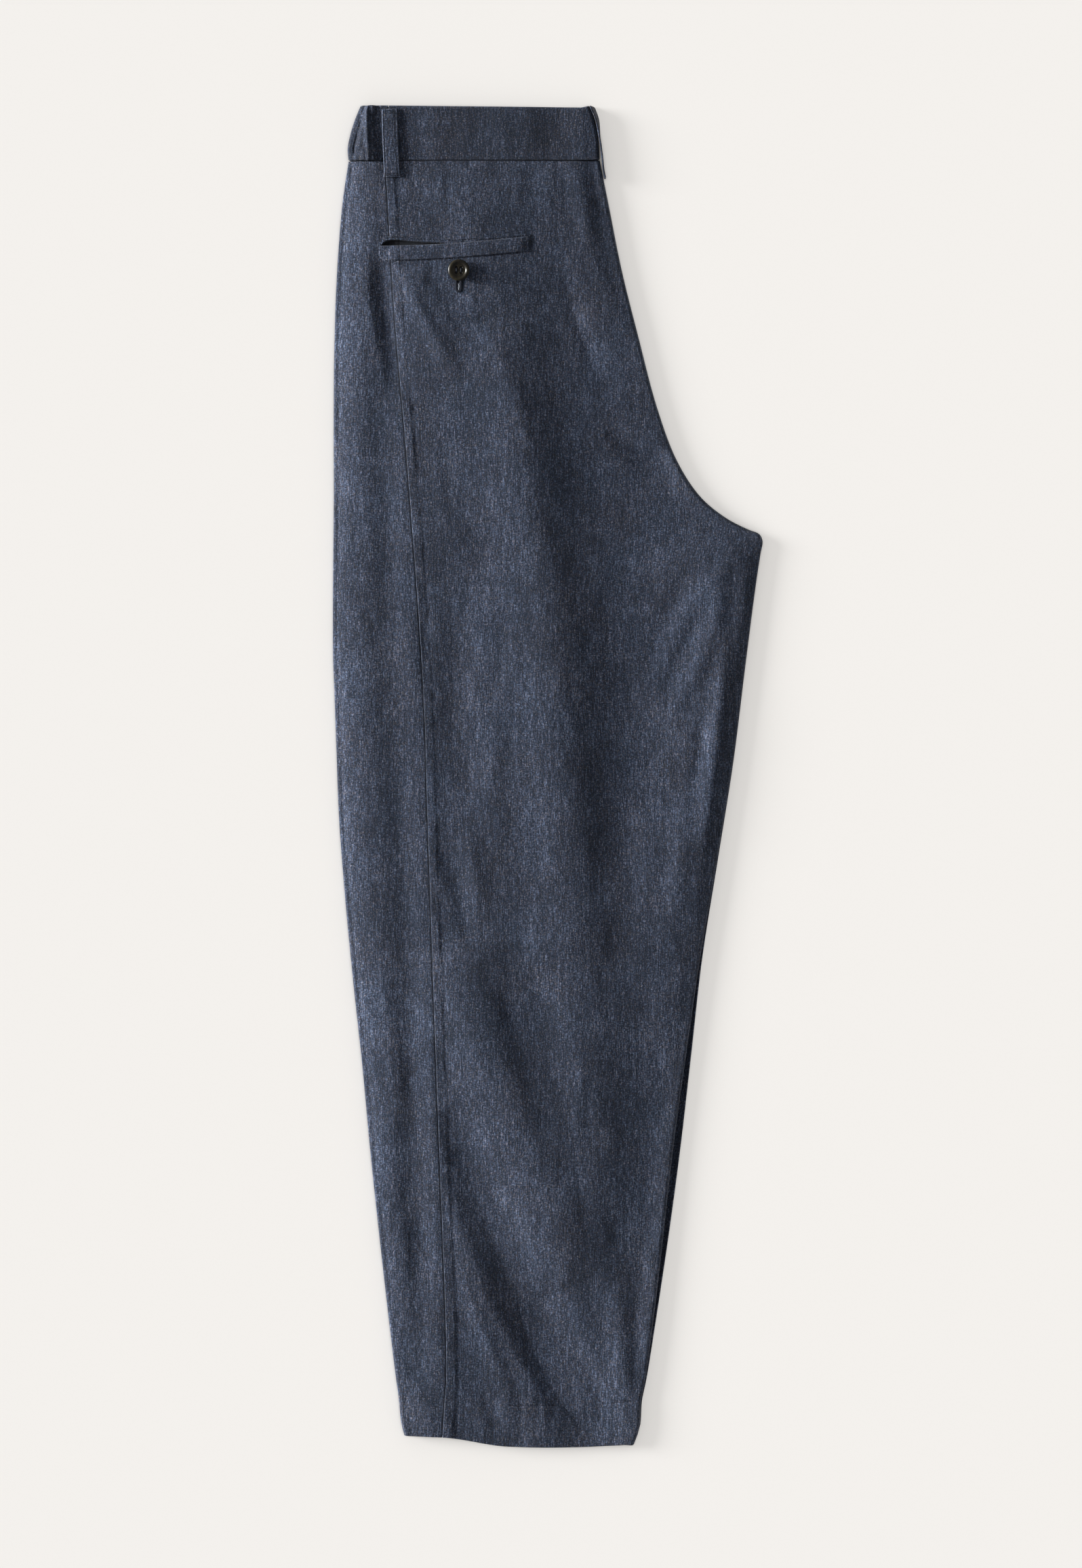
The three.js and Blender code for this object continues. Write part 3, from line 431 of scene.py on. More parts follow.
# The elasticated stretch's gathers, which the belt loop holds flat.
def gathered(section, across, x):
    before = sideLoop["x"] - sideLoop["width"] / 2 - 1 - x
    held = smooth(before, 0, 2.5) * smooth(across, garment["foldReach"], garment["foldReach"] + 2)
    total = 0
    for topX, bottomX, spread, rise in gathers:
        away = (x - bottomX - (topX - bottomX) * section["t"]) / spread
        total = total + rise * np.exp(-(away**2) / 2)
    return held * (total + 0.45 * unevenness(x, section["t"] * 40, 41, 2.6, 5))


# Height of the outer surface over plan positions, found by halving the range of sections.
def surfaceAt(x, y):
    x, y = (np.array(values, float) for values in np.broadcast_arrays(x, y))
    z = np.zeros(x.shape)
    for layout in (leg, band):
        inside = (y > garment["waistY"]) == (layout is band)
        if not inside.any():
            continue
        px, py = x[inside], y[inside]
        low, high = np.zeros(px.shape), np.ones(px.shape)
        for _ in range(20):
            middle = (low + high) / 2
            section = sectionAt(layout, middle)
            left, inner = section["left"][..., 0], section["inner"][..., 0]
            across = (px - left) / (inner - left) * section["span"]
            onward = (planPoint(section, across)[1] > py) == (layout is leg)
            low = np.where(onward, middle, low)
            high = np.where(onward, high, middle)
        z[inside] = outerHeight(section, across)
    return z


# Numbers between two ends, as close together as the spacing asks at each.
def placesBetween(start, end, spacingAt):
    fine = np.linspace(start, end, 6000)
    weight = abs(end - start) / (len(fine) - 1) / spacingAt(fine)
    total = np.concatenate([[0], np.cumsum((weight[1:] + weight[:-1]) / 2)])
    return np.interp(np.linspace(0, total[-1], int(np.ceil(total[-1])) + 1), total, fine)


# Places t down a layout at given heights of its left edge.
def placesAt(layout, ys):
    t = np.linspace(0, 1, 4000)
    y = curveThrough(layout["rows"][:, 0:2], t)[:, 1]
    order = np.argsort(y)
    return np.interp(ys, y[order], t[order])[:, None]


# Distances across each section: fixed offsets at both ends and even steps between.
def acrossPlaces(start, end, first, last, count):
    first, last = np.array(first, float), np.array(last, float)
    share = np.linspace(0, 1, count + 2)[1:-1]
    middle = start + first[-1] + (end - last[0] - start - first[-1]) * share
    return np.concatenate([start + first, middle, end - last], axis=1)


# A closed body from a grid of quads, or more than one, turned so that its faces point out.
def closedPart(vertices, faces, uv=None, wear=None, shade=None):
    corners = [faces[:, [0, k, k + 1]] for k in range(1, faces.shape[1] - 1)]
    volume = sum(
        np.einsum("ij,ij->i", vertices[c[:, 0]], np.cross(vertices[c[:, 1]], vertices[c[:, 2]])).sum()
        for c in corners
    )
    if volume < 0:
        faces = faces[:, ::-1]
    count = len(vertices)
    return {
        "vertices": vertices,
        "faces": faces,
        "uv": np.zeros((count, 2)) if uv is None else uv,
        "wear": np.zeros(count) if wear is None else wear,
        "shade": np.zeros(count) if shade is None else shade,
    }


# Vectors divided by their own lengths.
def unit(vectors):
    return vectors / np.maximum(np.linalg.norm(vectors, axis=-1, keepdims=True), 1e-9)


# Distance of each column of a grid from its two ends, along the surface.
def distancesFromEnds(grid, axis):
    step = np.linalg.norm(np.diff(grid, axis=axis), axis=-1)
    start = np.cumsum(step, axis=axis)
    zero = np.zeros_like(np.take(start, [0], axis=axis))
    start = np.concatenate([zero, start], axis=axis)
    return start, np.take(start, [-1], axis=axis) - start


# A cloth shell: the outer surface is a grid whose columns run with the outside to the left, the inner one
# lies a wall below it, square to it, and the wall thins to a round at each rim that has a radius.
# The threads' pattern is laid along the grid, with its zero at a column whose plan place is uv's start.
def clothShell(outer, wall, rims=(0.7, 0.7, 0.7, 0.7), anchor=0, shift=(0, 0), wear=None, shade=None,
               laid=None):
    rows, columns = outer.shape[:2]
    down = np.gradient(outer, axis=0)
    over = np.gradient(outer, axis=1)
    normal = unit(np.cross(down, over))
    fromLeft, fromRight = distancesFromEnds(outer, 1)
    fromTop, fromBottom = distancesFromEnds(outer, 0)
    thin = np.ones((rows, columns))
    for distance, radius in zip((fromLeft, fromRight, fromTop, fromBottom), rims):
        if radius:
            thin = thin * np.sqrt(np.clip(1 - (1 - np.minimum(distance / radius, 1)) ** 2, 0.012, 1))
    wall = np.broadcast_to(wall, (rows, columns))[..., None]
    thin = thin[..., None]
    top = outer - normal * wall * (1 - thin) / 2
    under = outer - normal * wall * (1 + thin) / 2
    index = np.arange(rows * columns).reshape(rows, columns)
    quads = np.stack([index[:-1, :-1], index[:-1, 1:], index[1:, 1:], index[1:, :-1]], axis=-1).reshape(-1, 4)
    loop = np.concatenate([index[0, :-1], index[:-1, -1], index[-1, :0:-1], index[:0:-1, 0]])
    onward = np.roll(loop, -1)
    total = rows * columns
    rim = np.stack([onward, loop, loop + total, onward + total], axis=-1)
    faces = np.concatenate([quads, quads[:, ::-1] + total, rim])
    run = fromLeft if laid is None else distancesFromEnds(laid, 1)[0]
    u = run - run[:, [anchor]] + outer[:, [anchor], 0]
    v = outer[..., 1]
    uv = np.stack([u + shift[0], v + shift[1]], axis=-1).reshape(-1, 2) * 0.001
    both = lambda values: None if values is None else np.tile(np.ravel(values), 2)
    vertices = np.concatenate([top.reshape(-1, 3), under.reshape(-1, 3)])
    return closedPart(vertices, faces, np.tile(uv, (2, 1)), both(wear), both(shade))


# Closed bodies of rings: rings[body, place, side] carried along a path, closed by a point at each end.
def ringBodies(rings):
    rings = np.asarray(rings, float)
    if rings.ndim == 3:
        rings = rings[None]
    bodies, places, sides = rings.shape[:3]
    rings = np.concatenate([
        np.repeat(rings[:, :1].mean(axis=2, keepdims=True), sides, axis=2),
        rings,
        np.repeat(rings[:, -1:].mean(axis=2, keepdims=True), sides, axis=2),
    ], axis=1)
    # the end rings are drawn in to almost a point, so that every face stays a quad
    rings[:, 0] += (rings[:, 1] - rings[:, 0]) * 0.03
    rings[:, -1] += (rings[:, -2] - rings[:, -1]) * 0.03
    places += 2
    index = np.arange(places * sides).reshape(places, sides)
    onward = np.roll(index, -1, axis=1)
    quads = np.stack([index[:-1], onward[:-1], onward[1:], index[1:]], axis=-1).reshape(-1, 4)
    half = sides // 2
    k = np.arange(half - 1)
    caps = []
    for ring, flip in ((index[0], False), (index[-1], True)):
        cap = np.stack([ring[k], ring[k + 1], ring[sides - 2 - k], ring[sides - 1 - k]], axis=-1)
        caps.append(cap if flip else cap[:, ::-1])
    one = np.concatenate([quads, *caps])
    faces = (one[None] + (np.arange(bodies) * places * sides)[:, None, None]).reshape(-1, 4)
    return closedPart(rings.reshape(-1, 3), faces)


# Rings square to centre lines, each of a given radius: closed round bodies, or flatter than wide.
def tubes(centre, radius, sides, upright=(0, 0, 1.0), flatness=1.0):
    ahead = unit(np.gradient(centre, axis=-2))
    side = unit(np.cross(ahead, upright))
    up = np.cross(side, ahead)
    angle = np.arange(sides) / sides * 2 * np.pi
    across, above = np.cos(angle)[:, None], np.sin(angle)[:, None]
    around = side[..., None, :] * across + up[..., None, :] * above * flatness
    return ringBodies(centre[..., None, :] + around * radius[..., None, None])


# Points at given distances along a path, and the path's whole length.
def alongPath(path, distances):
    step = np.concatenate([[0], np.cumsum(np.linalg.norm(np.diff(path, axis=0), axis=1))])
    return np.stack([np.interp(distances, step, path[:, k]) for k in range(3)], axis=-1), step[-1]


# A row of stitches along a path: each is a short thread that rises out of the cloth and dips back in.
def stitchRow(path, pitch=2.6, share=0.72, radius=0.3, sink=0.05, seed=1):
    path = np.asarray(path, float)
    length = alongPath(path, [0])[1]
    count = max(int(length / pitch), 1)
    draw = np.random.default_rng(seed)
    middle = (np.arange(count) + 0.5) * length / count
    half = length / count * share / 2 * draw.uniform(0.92, 1.08, count)
    along = np.linspace(-1, 1, 7)
    centre, _ = alongPath(path, (middle[:, None] + half[:, None] * along).ravel())
    centre = centre.reshape(count, len(along), 3)
    bow = np.sqrt(1 - np.minimum(np.abs(along), 0.995) ** 2)
    centre[..., 2] += radius * (1.1 * bow - 0.8) - sink
    return tubes(centre, radius * (0.45 + 0.55 * bow), 6, flatness=0.8)


# A thread: round sections along a path, thinner at both ends where it is frayed.
def threadAlong(path, radius, sides=8, taper=0.0):
    path = np.asarray(path, float)
    place = np.linspace(0, 1, len(path))
    thick = radius * (1 - taper * np.abs(place * 2 - 1) ** 3)
    return tubes(path, thick, sides, upright=(0.3, 0.2, 1.0))


# Points over plan positions, a lift above the outer surface.
def onSurface(x, y, lift=0.0):
    x, y = np.broadcast_arrays(np.asarray(x, float), np.asarray(y, float))
    return np.stack([x, y, surfaceAt(x, y) + lift], axis=-1)


# One mesh object from closed parts, in metres, with the threads' pattern, the wear of its cloth and its
# painted shade.
def makePiece(name, parts, material, replaces=()):
    offset = np.cumsum([0] + [len(part["vertices"]) for part in parts])
    vertices = np.concatenate([part["vertices"] for part in parts]) * 0.001
    faces = np.concatenate([part["faces"] + start for part, start in zip(parts, offset)])
    mesh = bpy.data.meshes.new(name)
    mesh.from_pydata(vertices.tolist(), [], faces.tolist())
    corners = faces.ravel()
    uv = np.concatenate([part["uv"] for part in parts])
    mesh.uv_layers.new(name="weave").data.foreach_set("uv", uv[corners].ravel())
    for key in ("wear", "shade"):
        values = np.concatenate([part[key] for part in parts])
        mesh.attributes.new(key, "FLOAT", "POINT").data.foreach_set("value", values)
    mesh.polygons.foreach_set("use_smooth", np.ones(len(faces), bool))
    mesh.materials.append(material)
    mesh.update()
    piece = bpy.data.objects.new(name, mesh)
    bpy.context.collection.objects.link(piece)
    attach(piece, "root")
    if replaces:
        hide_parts(*replaces)
    print(name, len(faces) * 2, "triangles")
    return piece


# An sRGB hex colour as the linear colour that shaders take.
def linear(hexColour):
    values = [int(hexColour[k:k + 2], 16) / 255 for k in (1, 3, 5)]
    return [v / 12.92 if v < 0.04045 else ((v + 0.055) / 1.055) ** 2.4 for v in values] + [1]


# Adds one node: sets its settings, links each input that is given a socket, and sets the others.
def addNode(tree, kind, inputs, **settings):
    made = tree.nodes.new("ShaderNode" + kind)
    for name, value in settings.items():
        setattr(made, name, value)
    for key, value in inputs.items():
        if isinstance(value, bpy.types.NodeSocket):
            tree.links.new(value, made.inputs[key])
        else:
            made.inputs[key].default_value = value
    return made


# A new material with its node tree and its surface shader.
def newMaterial(name):
    material = bpy.data.materials.new(name)
    material.use_nodes = True
    tree = material.node_tree
    return material, tree, tree.nodes["Principled BSDF"]


# Gives a ramp its colours, each at its own place.
def setStops(ramp, places, colours):
    stops = ramp.color_ramp.elements
    stops[0].position, stops[1].position = places[:2]
    for place in places[2:]:
        stops.new(place)
    for stop, colour in zip(stops, colours):
        stop.color = colour


# Values that are the same all over, on the shader's own sockets.
def setSockets(shader, values):
    for name, value in values.items():
        shader.inputs[name].default_value = value


# Heathered denim: a dark indigo warp with a grey-blue fleck, woven twill, washed once. The eye sees fine
# light and dark threads along the leg, thicker slubs among them and a faint weft across them.
denimLook = {
    "tones": ("#111927", "#252d3c", "#464c58", "#7c8089"),
    "tonePlaces": (0.26, 0.50, 0.70, 0.96),
    "hues": ("#25364f", "#363441", "#4a4338"),
    "huePlaces": (0.45, 0.62, 0.80),
    "hueMix": 0.55,
    # inside is a near-black painted shade colour for where the pocket's mouth gapes
    "undyed": "#9a9890", "worn": "#6f7787", "inside": "#0e1014",
    # mm across and along the threads; the warp is drawn twice as coarse as real, to show
    "warp": (0.8, 7.0), "slub": (3.0, 30.0), "weft": (2.6, 0.8), "grain": (1.0, 1.4),
    "flecks": (0.6, 1.0), "hue": (1.1, 2.4), "cloud": (38.0, 60.0),
    "rough": 0.7,
    "weights": {"warp": 1.00, "slub": 0.45, "weft": 0.55, "grain": 1.20, "cloud": 0.40},
    "level": -1.29,  # brings the weighed sum to the middle of the tones
    "bumps": {"weft": 0.5, "warp": 0.9, "grain": 0.8},
    "bumpDepth": 0.0005,
}


# A weighed sum of the threads' patterns picks the tone and another noise the hue. Flecks and rubbed cloth are
# mixed towards colours of their own, and the shade attribute mixes in a near-black painted shade.
def denimMaterial(name, brightness=0.0):
    material, tree, shader = newMaterial(name)
    cloth = addNode(tree, "UVMap", {}, uv_map="weave").outputs["UV"]
    look = denimLook

    # noise whose spots are the given millimetres across and along the threads
    def threads(size, detail, shift):
        scaled = addNode(tree, "Mapping", {"Vector": cloth, "Location": (shift, shift * 0.7, 0),
                                           "Scale": (1000 / size[0], 1000 / size[1], 1)})
        settings = {"Vector": scaled.outputs[0], "Scale": 1.0, "Detail": detail, "Roughness": look["rough"]}
        return addNode(tree, "TexNoise", settings, noise_dimensions="2D").outputs[0]

    # a value times its weight, added to a total
    def weighed(value, weight, total):
        node = addNode(tree, "Math", {0: value, 1: weight, 2: total}, operation="MULTIPLY_ADD")
        return node.outputs[0]

    patterns = {
        "warp": threads(look["warp"], 2, 3.1),
        "slub": threads(look["slub"], 2, 7.7),
        "weft": threads(look["weft"], 1, 12.9),
        "grain": threads(look["grain"], 3, 21.3),
        "cloud": threads(look["cloud"], 3, 33.7),
    }
    tone = brightness + look["level"]
    for key, weight in look["weights"].items():
        tone = weighed(patterns[key], weight, tone)
    ramp = addNode(tree, "ValToRGB", {"Fac": tone})
    setStops(ramp, look["tonePlaces"], map(linear, look["tones"]))
    patches = weighed(threads(look["cloud"], 2, 61.0), 0.2, -0.1)
    hue = addNode(tree, "ValToRGB", {"Fac": weighed(threads(look["hue"], 2, 41.0), 1.0, patches)})
    setStops(hue, look["huePlaces"], map(linear, look["hues"]))
    colour = addNode(tree, "Mix", {0: look["hueMix"], 6: ramp.outputs[0], 7: hue.outputs[0]},
                     data_type="RGBA", blend_type="COLOR").outputs[2]
    spots = threads(look["flecks"], 0, 55.0)
    fleck = addNode(tree, "MapRange", {0: spots, 1: 0.76, 2: 0.88, 3: 0.0, 4: 0.35}).outputs[0]
    wear = addNode(tree, "Attribute", {}, attribute_name="wear").outputs["Fac"]
    worn = addNode(tree, "Math", {0: wear, 1: patterns["warp"]}, operation="MULTIPLY").outputs[0]
    shade = addNode(tree, "Attribute", {}, attribute_name="shade").outputs["Fac"]
    # the last mix is painted shade: towards the near-black inside colour by the shade attribute
    for share, key in ((fleck, "undyed"), (worn, "worn"), (shade, "inside")):
        over = {0: share, 6: colour, 7: linear(look[key])}
        colour = addNode(tree, "Mix", over, data_type="RGBA").outputs[2]
    tree.links.new(colour, shader.inputs["Base Color"])
    height = 0.0
    for key, weight in look["bumps"].items():
        height = weighed(patterns[key], weight, height)
    bump = addNode(tree, "Bump", {"Height": height, "Strength": 0.5, "Distance": look["bumpDepth"]})
    tree.links.new(bump.outputs[0], shader.inputs["Normal"])
    setSockets(shader, {"Roughness": 0.88, "Specular IOR Level": 0.25, "Sheen Weight": 0.12,
                        "Sheen Roughness": 0.5})
    return material


# Polyester sewing thread, dyed to match: its twist, a spot every 0.4 mm, is a small bump and is painted
# darker between the strands as shade, and it has only a weak sheen, so the rows of stitches read as dark
# lines.
def threadMaterial(name, colour, roughness):
    material, tree, shader = newMaterial(name)
    place = addNode(tree, "TexCoord", {}).outputs["Object"]
    twist = addNode(tree, "TexNoise", {"Vector": place, "Scale": 2500.0, "Detail": 2.0}).outputs[0]
    ramp = addNode(tree, "ValToRGB", {"Fac": twist})
    # painted shade in the twist's hollows, where the bump is low: 0.6 of the thread's colour
    strandShade = [value * 0.6 for value in linear(colour)[:3]] + [1]
    setStops(ramp, (0.35, 0.65), (strandShade, linear(colour)))
    tree.links.new(ramp.outputs[0], shader.inputs["Base Color"])
    bump = addNode(tree, "Bump", {"Height": twist, "Strength": 0.4, "Distance": 0.0001})
    tree.links.new(bump.outputs[0], shader.inputs["Normal"])
    setSockets(shader, {"Roughness": roughness, "Specular IOR Level": 0.15})
    return material


# Polished horn, turned and drilled: dark brown-black with paler olive veins, and a soft gloss.
# The veins are 4 mm wide and 11 mm long.
def hornMaterial():
    material, tree, shader = newMaterial("polishedHorn")
    place = addNode(tree, "TexCoord", {}).outputs["Object"]
    turned = {"Vector": place, "Rotation": (0, 0, 0.6), "Scale": (260, 90, 200)}
    stretched = addNode(tree, "Mapping", turned).outputs[0]
    veins = addNode(tree, "TexNoise", {"Vector": stretched, "Scale": 1.0, "Detail": 4.0, "Distortion": 1.2})
    ramp = addNode(tree, "ValToRGB", {"Fac": veins.outputs[0]})
    setStops(ramp, (0.40, 0.72), (linear("#110e0b"), linear("#2b271a")))
    tree.links.new(ramp.outputs[0], shader.inputs["Base Color"])
    setSockets(shader, {"Roughness": 0.36, "IOR": 1.54, "Specular IOR Level": 0.22})
    return material


denim = denimMaterial("heatheredDenimOutside")
denimBand = denimMaterial("heatheredDenimBand", -0.10)
darkThread = threadMaterial("darkSewingThread", "#20242e", 0.6)
paleThread = threadMaterial("palePocketThread", "#8f959f", 0.7)
horn = hornMaterial()

# How far apart the rows of the leg's cloth lie: closer at the pocket, at the hem and at both ends
rowLook = {
    "spacing": 2.5, "pocket": 1.3, "hem": 0.6, "rim": 0.16,
    "top": 445, "bottom": -476.4, "pocketLow": 352, "pocketHigh": 396,
}


# Places down the leg, spaced as the table asks, or coarser.
def legRows(coarse=1.0):
    look = rowLook

    def spacing(y):
        size = np.full(y.shape, look["spacing"] * coarse)
        size = np.where((y > look["pocketLow"]) & (y < look["pocketHigh"]), look["pocket"] * coarse, size)
        size = np.where(np.abs(y - garment["hemY"]) < 3, look["hem"] * coarse, size)
        ends = np.minimum(np.abs(y - look["top"]), np.abs(y - look["bottom"]))
        return np.where(ends < 0.8, look["rim"], size)
    return placesAt(leg, placesBetween(look["top"], look["bottom"], spacing))


# Points at distances across a section, at given heights.
def inSpace(section, across, z):
    x, y = planPoint(section, across)
    return np.stack([x, y, z + 0 * x], axis=-1)


# A run over the top of a section from the side seam, and the quarter round down at its right edge.
def overAndDown(section, first, count):
    gap, curl, layout = garment["gap"], garment["rimCurl"], section["layout"]
    start = section["width"] - curl
    across = acrossPlaces(section["seam"], start, first, [1.0, 0], count)
    bottom = layout["plane"] + gap / 2 + section["inseam"] * (layout["wall"] + gap)
    angle = np.linspace(0, np.pi / 2, garment["curlSteps"] + 1)[1:]
    down = start + curl * np.sin(angle)
    top = outerHeight(section, start)
    downZ = bottom + (top - bottom) * np.cos(angle)
    return inSpace(section, np.concatenate([across, down], axis=1),
                   np.concatenate([outerHeight(section, across), downZ], axis=1))


# A run from under the left fold, in a half round about it, and over the top to the side seam.
def roundAndOver(section, under, foldSteps, first, last, count):
    fold = garment["foldReach"]
    low = section["layout"]["plane"] + garment["gap"] / 2
    top = outerHeight(section, np.full(section["t"].shape, fold))
    middle = (low + top) / 2
    angle = np.linspace(0, np.pi, foldSteps + 1)
    roundAcross = fold * (1 - np.sin(angle)) + 0 * middle
    roundZ = middle - (middle - low) * np.cos(angle)
    under = np.array([garment["foldTuck"], *under]) + 0 * middle
    over = acrossPlaces(0 * middle, section["seam"], [fold + first], last, count)
    return inSpace(section, np.concatenate([under, roundAcross, over], axis=1),
                   np.concatenate([low + 0 * under, roundZ, outerHeight(section, over)], axis=1))


# The cloth as it lies without the pocket's mouth sunk into it.
def withoutMouth(outer):
    return outer - np.array([0, 0, 1]) * mouthSink(outer[..., 0], outer[..., 1])[..., None]


# The upper back panel, from the side seam to the right edge, rubbed paler at both.
backPanelLook = {"columns": 74, "seamSteps": [0.15, 0.21, 0.35, 0.57, 0.85, 1.3, 1.9, 2.7, 3.6, 4.5, 5.3,
                                             5.9, 6.5, 7.1, 7.8, 8.8, 10.2, 12.2]}


# Over each section from the side seam to the right edge, and down there.
def backPanel():
    section = sectionAt(leg, legRows())
    outer = overAndDown(section, backPanelLook["seamSteps"], backPanelLook["columns"])
    fromSeam, fromRight = distancesFromEnds(outer, 1)
    wear = 0.4 * np.exp(-((fromSeam / 0.6) ** 2)) + 0.25 * np.exp(-fromRight / 5)
    part = clothShell(outer, leg["wall"], rims=(0.6, 0.5, 0.8, 0.9), wear=wear, laid=withoutMouth(outer))
    return makePiece("backPanel", [part], denim, ["back_panel_upper"])


# The upper front panel, from under the left fold to the side seam, rubbed paler there.
frontPanelLook = {"columns": 18, "foldSteps": 16, "underSteps": [15.8, 15.4, 12, 8, 5],
                  "seamSteps": [3, 2, 1.3, 0.85, 0.57, 0.35, 0.21, 0.15]}


# From under the left fold, round it, and over each section to the side seam.
def frontPanel():
    section = sectionAt(leg, legRows())
    look = frontPanelLook
    outer = roundAndOver(section, look["underSteps"], look["foldSteps"], 1.2, look["seamSteps"],
                         look["columns"])
    _, fromSeam = distancesFromEnds(outer, 1)
    wear = 0.35 * np.exp(-((fromSeam / 0.8) ** 2))
    part = clothShell(outer, leg["wall"], rims=(0.5, 0.6, 0.8, 0.9), anchor=-1, shift=(3100, 40), wear=wear,
                      laid=withoutMouth(outer))
    return makePiece("frontPanel", [part], denim, ["front_panel_upper"])


# The lower leg's cloth lies flat on the surface and curls up at the right edge in a quarter round.
def lowerCurl(section, end, steps):
    layout, curl, gap = section["layout"], garment["rimCurl"], garment["gap"]
    start = section["width"] + section["peek"] - curl
    top = layout["plane"] - gap / 2 - section["inseam"] * (layout["wall"] + gap)
    angle = np.linspace(0, np.pi / 2, 9)[:-1]
    across = start + curl * np.cos(angle)
    flat = acrossPlaces(-start, -end, [0, 1], [0.8, 0.3, 0], steps) * -1
    z = np.concatenate([top * (1 - np.sin(angle)), 0 * flat], axis=1)
    return np.concatenate([across, flat], axis=1), z


# At the left it turns round the fold in a half round, and in above itself. A start adds the flat run before.
def lowerFold(section, start=None, steps=8):
    layout, fold, gap = section["layout"], garment["foldReach"], garment["gap"]
    high = layout["plane"] - gap / 2
    angle = np.linspace(0, np.pi, 15)
    blank = 0 * section["width"]
    roundAcross = garment["lowerInset"] + fold * (1 - np.sin(angle)) + blank
    roundZ = high / 2 * (1 - np.cos(angle)) + blank
    back = np.array([6.0, 10, 14, 15.5, garment["foldTuck"]]) + blank
    across, z = [roundAcross, back], [roundZ, high + 0 * back]
    if start is not None:
        flat = acrossPlaces(-start, -garment["lowerInset"] - fold + blank, [0, 0.3, 0.8], [1], steps) * -1
        across.insert(0, flat)
        z.insert(0, 0 * flat)
    return np.concatenate(across, axis=1), np.concatenate(z, axis=1)


lowerLook = {"coarse": 2.4, "columns": 30}


# The lower back: round the curl at the right edge, then flat to the side seam.
def lowerBack():
    section = sectionAt(leg, legRows(lowerLook["coarse"]))
    across, z = lowerCurl(section, section["seam"] + garment["gap"] / 2, lowerLook["columns"])
    part = clothShell(inSpace(section, across, z), leg["wall"], rims=(0.5, 0.6, 0.7, 0.9), shift=(9000, 500))
    return makePiece("lowerBackPanel", [part], denim, ["back_panel_lower"])


# The lower front: flat from the side seam to the left fold, and round it.
def lowerFront():
    section = sectionAt(leg, legRows(lowerLook["coarse"]))
    across, z = lowerFold(section, section["seam"] - garment["gap"] / 2)
    part = clothShell(inSpace(section, across, z), leg["wall"], rims=(0.6, 0.5, 0.7, 0.9), shift=(12000, 200))
    return makePiece("lowerFrontPanel", [part], denim, ["front_panel_lower"])


# The hidden layers: the front halves of both legs and of the band as flat slabs, and a soft filling that
# follows the upper panel from below.
innerLook = {"fillInset": 24, "fillRows": (1.2, 20), "coarse": 3.2, "columns": 26}


# A slab from near the left fold to near the right edge, level, or with its top at a given height.
def flatLayer(layout, rows, low, high, inset, top=None):
    section = sectionAt(layout, rows)
    start = garment["foldTuck"] + garment["gap"] * 2 + inset + 0 * section["width"]
    end = section["width"] - np.maximum(section["tucked"], inset)
    across = acrossPlaces(start, end, [0, 0.12, 0.4, 0.8], [0.8, 0.4, 0.12, 0], innerLook["columns"])
    z = high + 0 * across if top is None else top(section, across)
    rim = min(high - low, 1.4) / 2 if top is None else 3.0
    return clothShell(inSpace(section, across, z), z - low, rims=(rim,) * 4, shift=(17000, 900))


# A slab on each side of the plane between the legs, a half gap away from it.
def bothSlabs(layout, rows):
    plane, half, wall = layout["plane"], garment["gap"] / 2, layout["wall"]
    return [flatLayer(layout, rows, plane + half, plane + half + wall, 0),
            flatLayer(layout, rows, plane - half - wall, plane - half, 0)]


# Two slabs in the leg, the filling under the showing panel, and two slabs in the band.
def innerLayers():
    rows = legRows(innerLook["coarse"])
    low = leg["plane"] + garment["gap"] / 2 + leg["wall"] + 0.05
    first, last = (row / garment["hemRows"] for row in innerLook["fillRows"])
    inside = rows[(rows[:, 0] > first) & (rows[:, 0] < last)]

    def under(section, across):
        return outerHeight(section, across) - leg["wall"] - garment["fillGap"]
    filling = flatLayer(leg, inside, low, 0, innerLook["fillInset"], under)
    bandSlabs = bothSlabs(band, np.linspace(0.02, 0.94, 14)[:, None])
    parts = [*bothSlabs(leg, rows), filling, *bandSlabs]
    return makePiece("innerLayers", parts, denim, ["folded_layers"])


# The waistband: a back stretch, a gathered stretch at the side, and the lower half.
bandLook = {"top": 485.2, "backSpacing": 1.2, "backColumns": 96, "sideSpacing": 0.8, "sideColumns": 52,
            "lowerSpacing": 2.5, "rim": 0.16, "thinTop": 0.4}


# Places up the band, evenly spaced but for its two rims.
def bandRows(spacing):
    def ends(y):
        fromEnd = np.minimum(y - garment["waistY"], bandLook["top"] - y)
        return np.where(fromEnd < 0.9, bandLook["rim"], spacing)
    return placesAt(band, placesBetween(bandLook["top"], garment["waistY"], ends))


# The band's wall, thinner by a share at its top edge.
def bandWall(section):
    return band["wall"] * (1 - bandLook["thinTop"] * smooth(section["t"], 0.95, 1))


# The back stretch: over from the side loop to the right edge, and down there.
def bandBack():
    section = sectionAt(band, bandRows(bandLook["backSpacing"]))
    outer = overAndDown(section, [0.15, 0.35, 0.7, 1.2, 2], bandLook["backColumns"])
    fromTop, fromSeam = distancesFromEnds(outer, 0)
    wear = 0.35 * np.exp(-((fromTop / 1.0) ** 2)) + 0.2 * np.exp(-((fromSeam / 0.8) ** 2))
    part = clothShell(outer, bandWall(section), rims=(0.6, 0.5, 1.0, 0.9), shift=(200, 1700), wear=wear)
    return makePiece("waistbandBack", [part], denimBand, ["waistband_back_upper"])


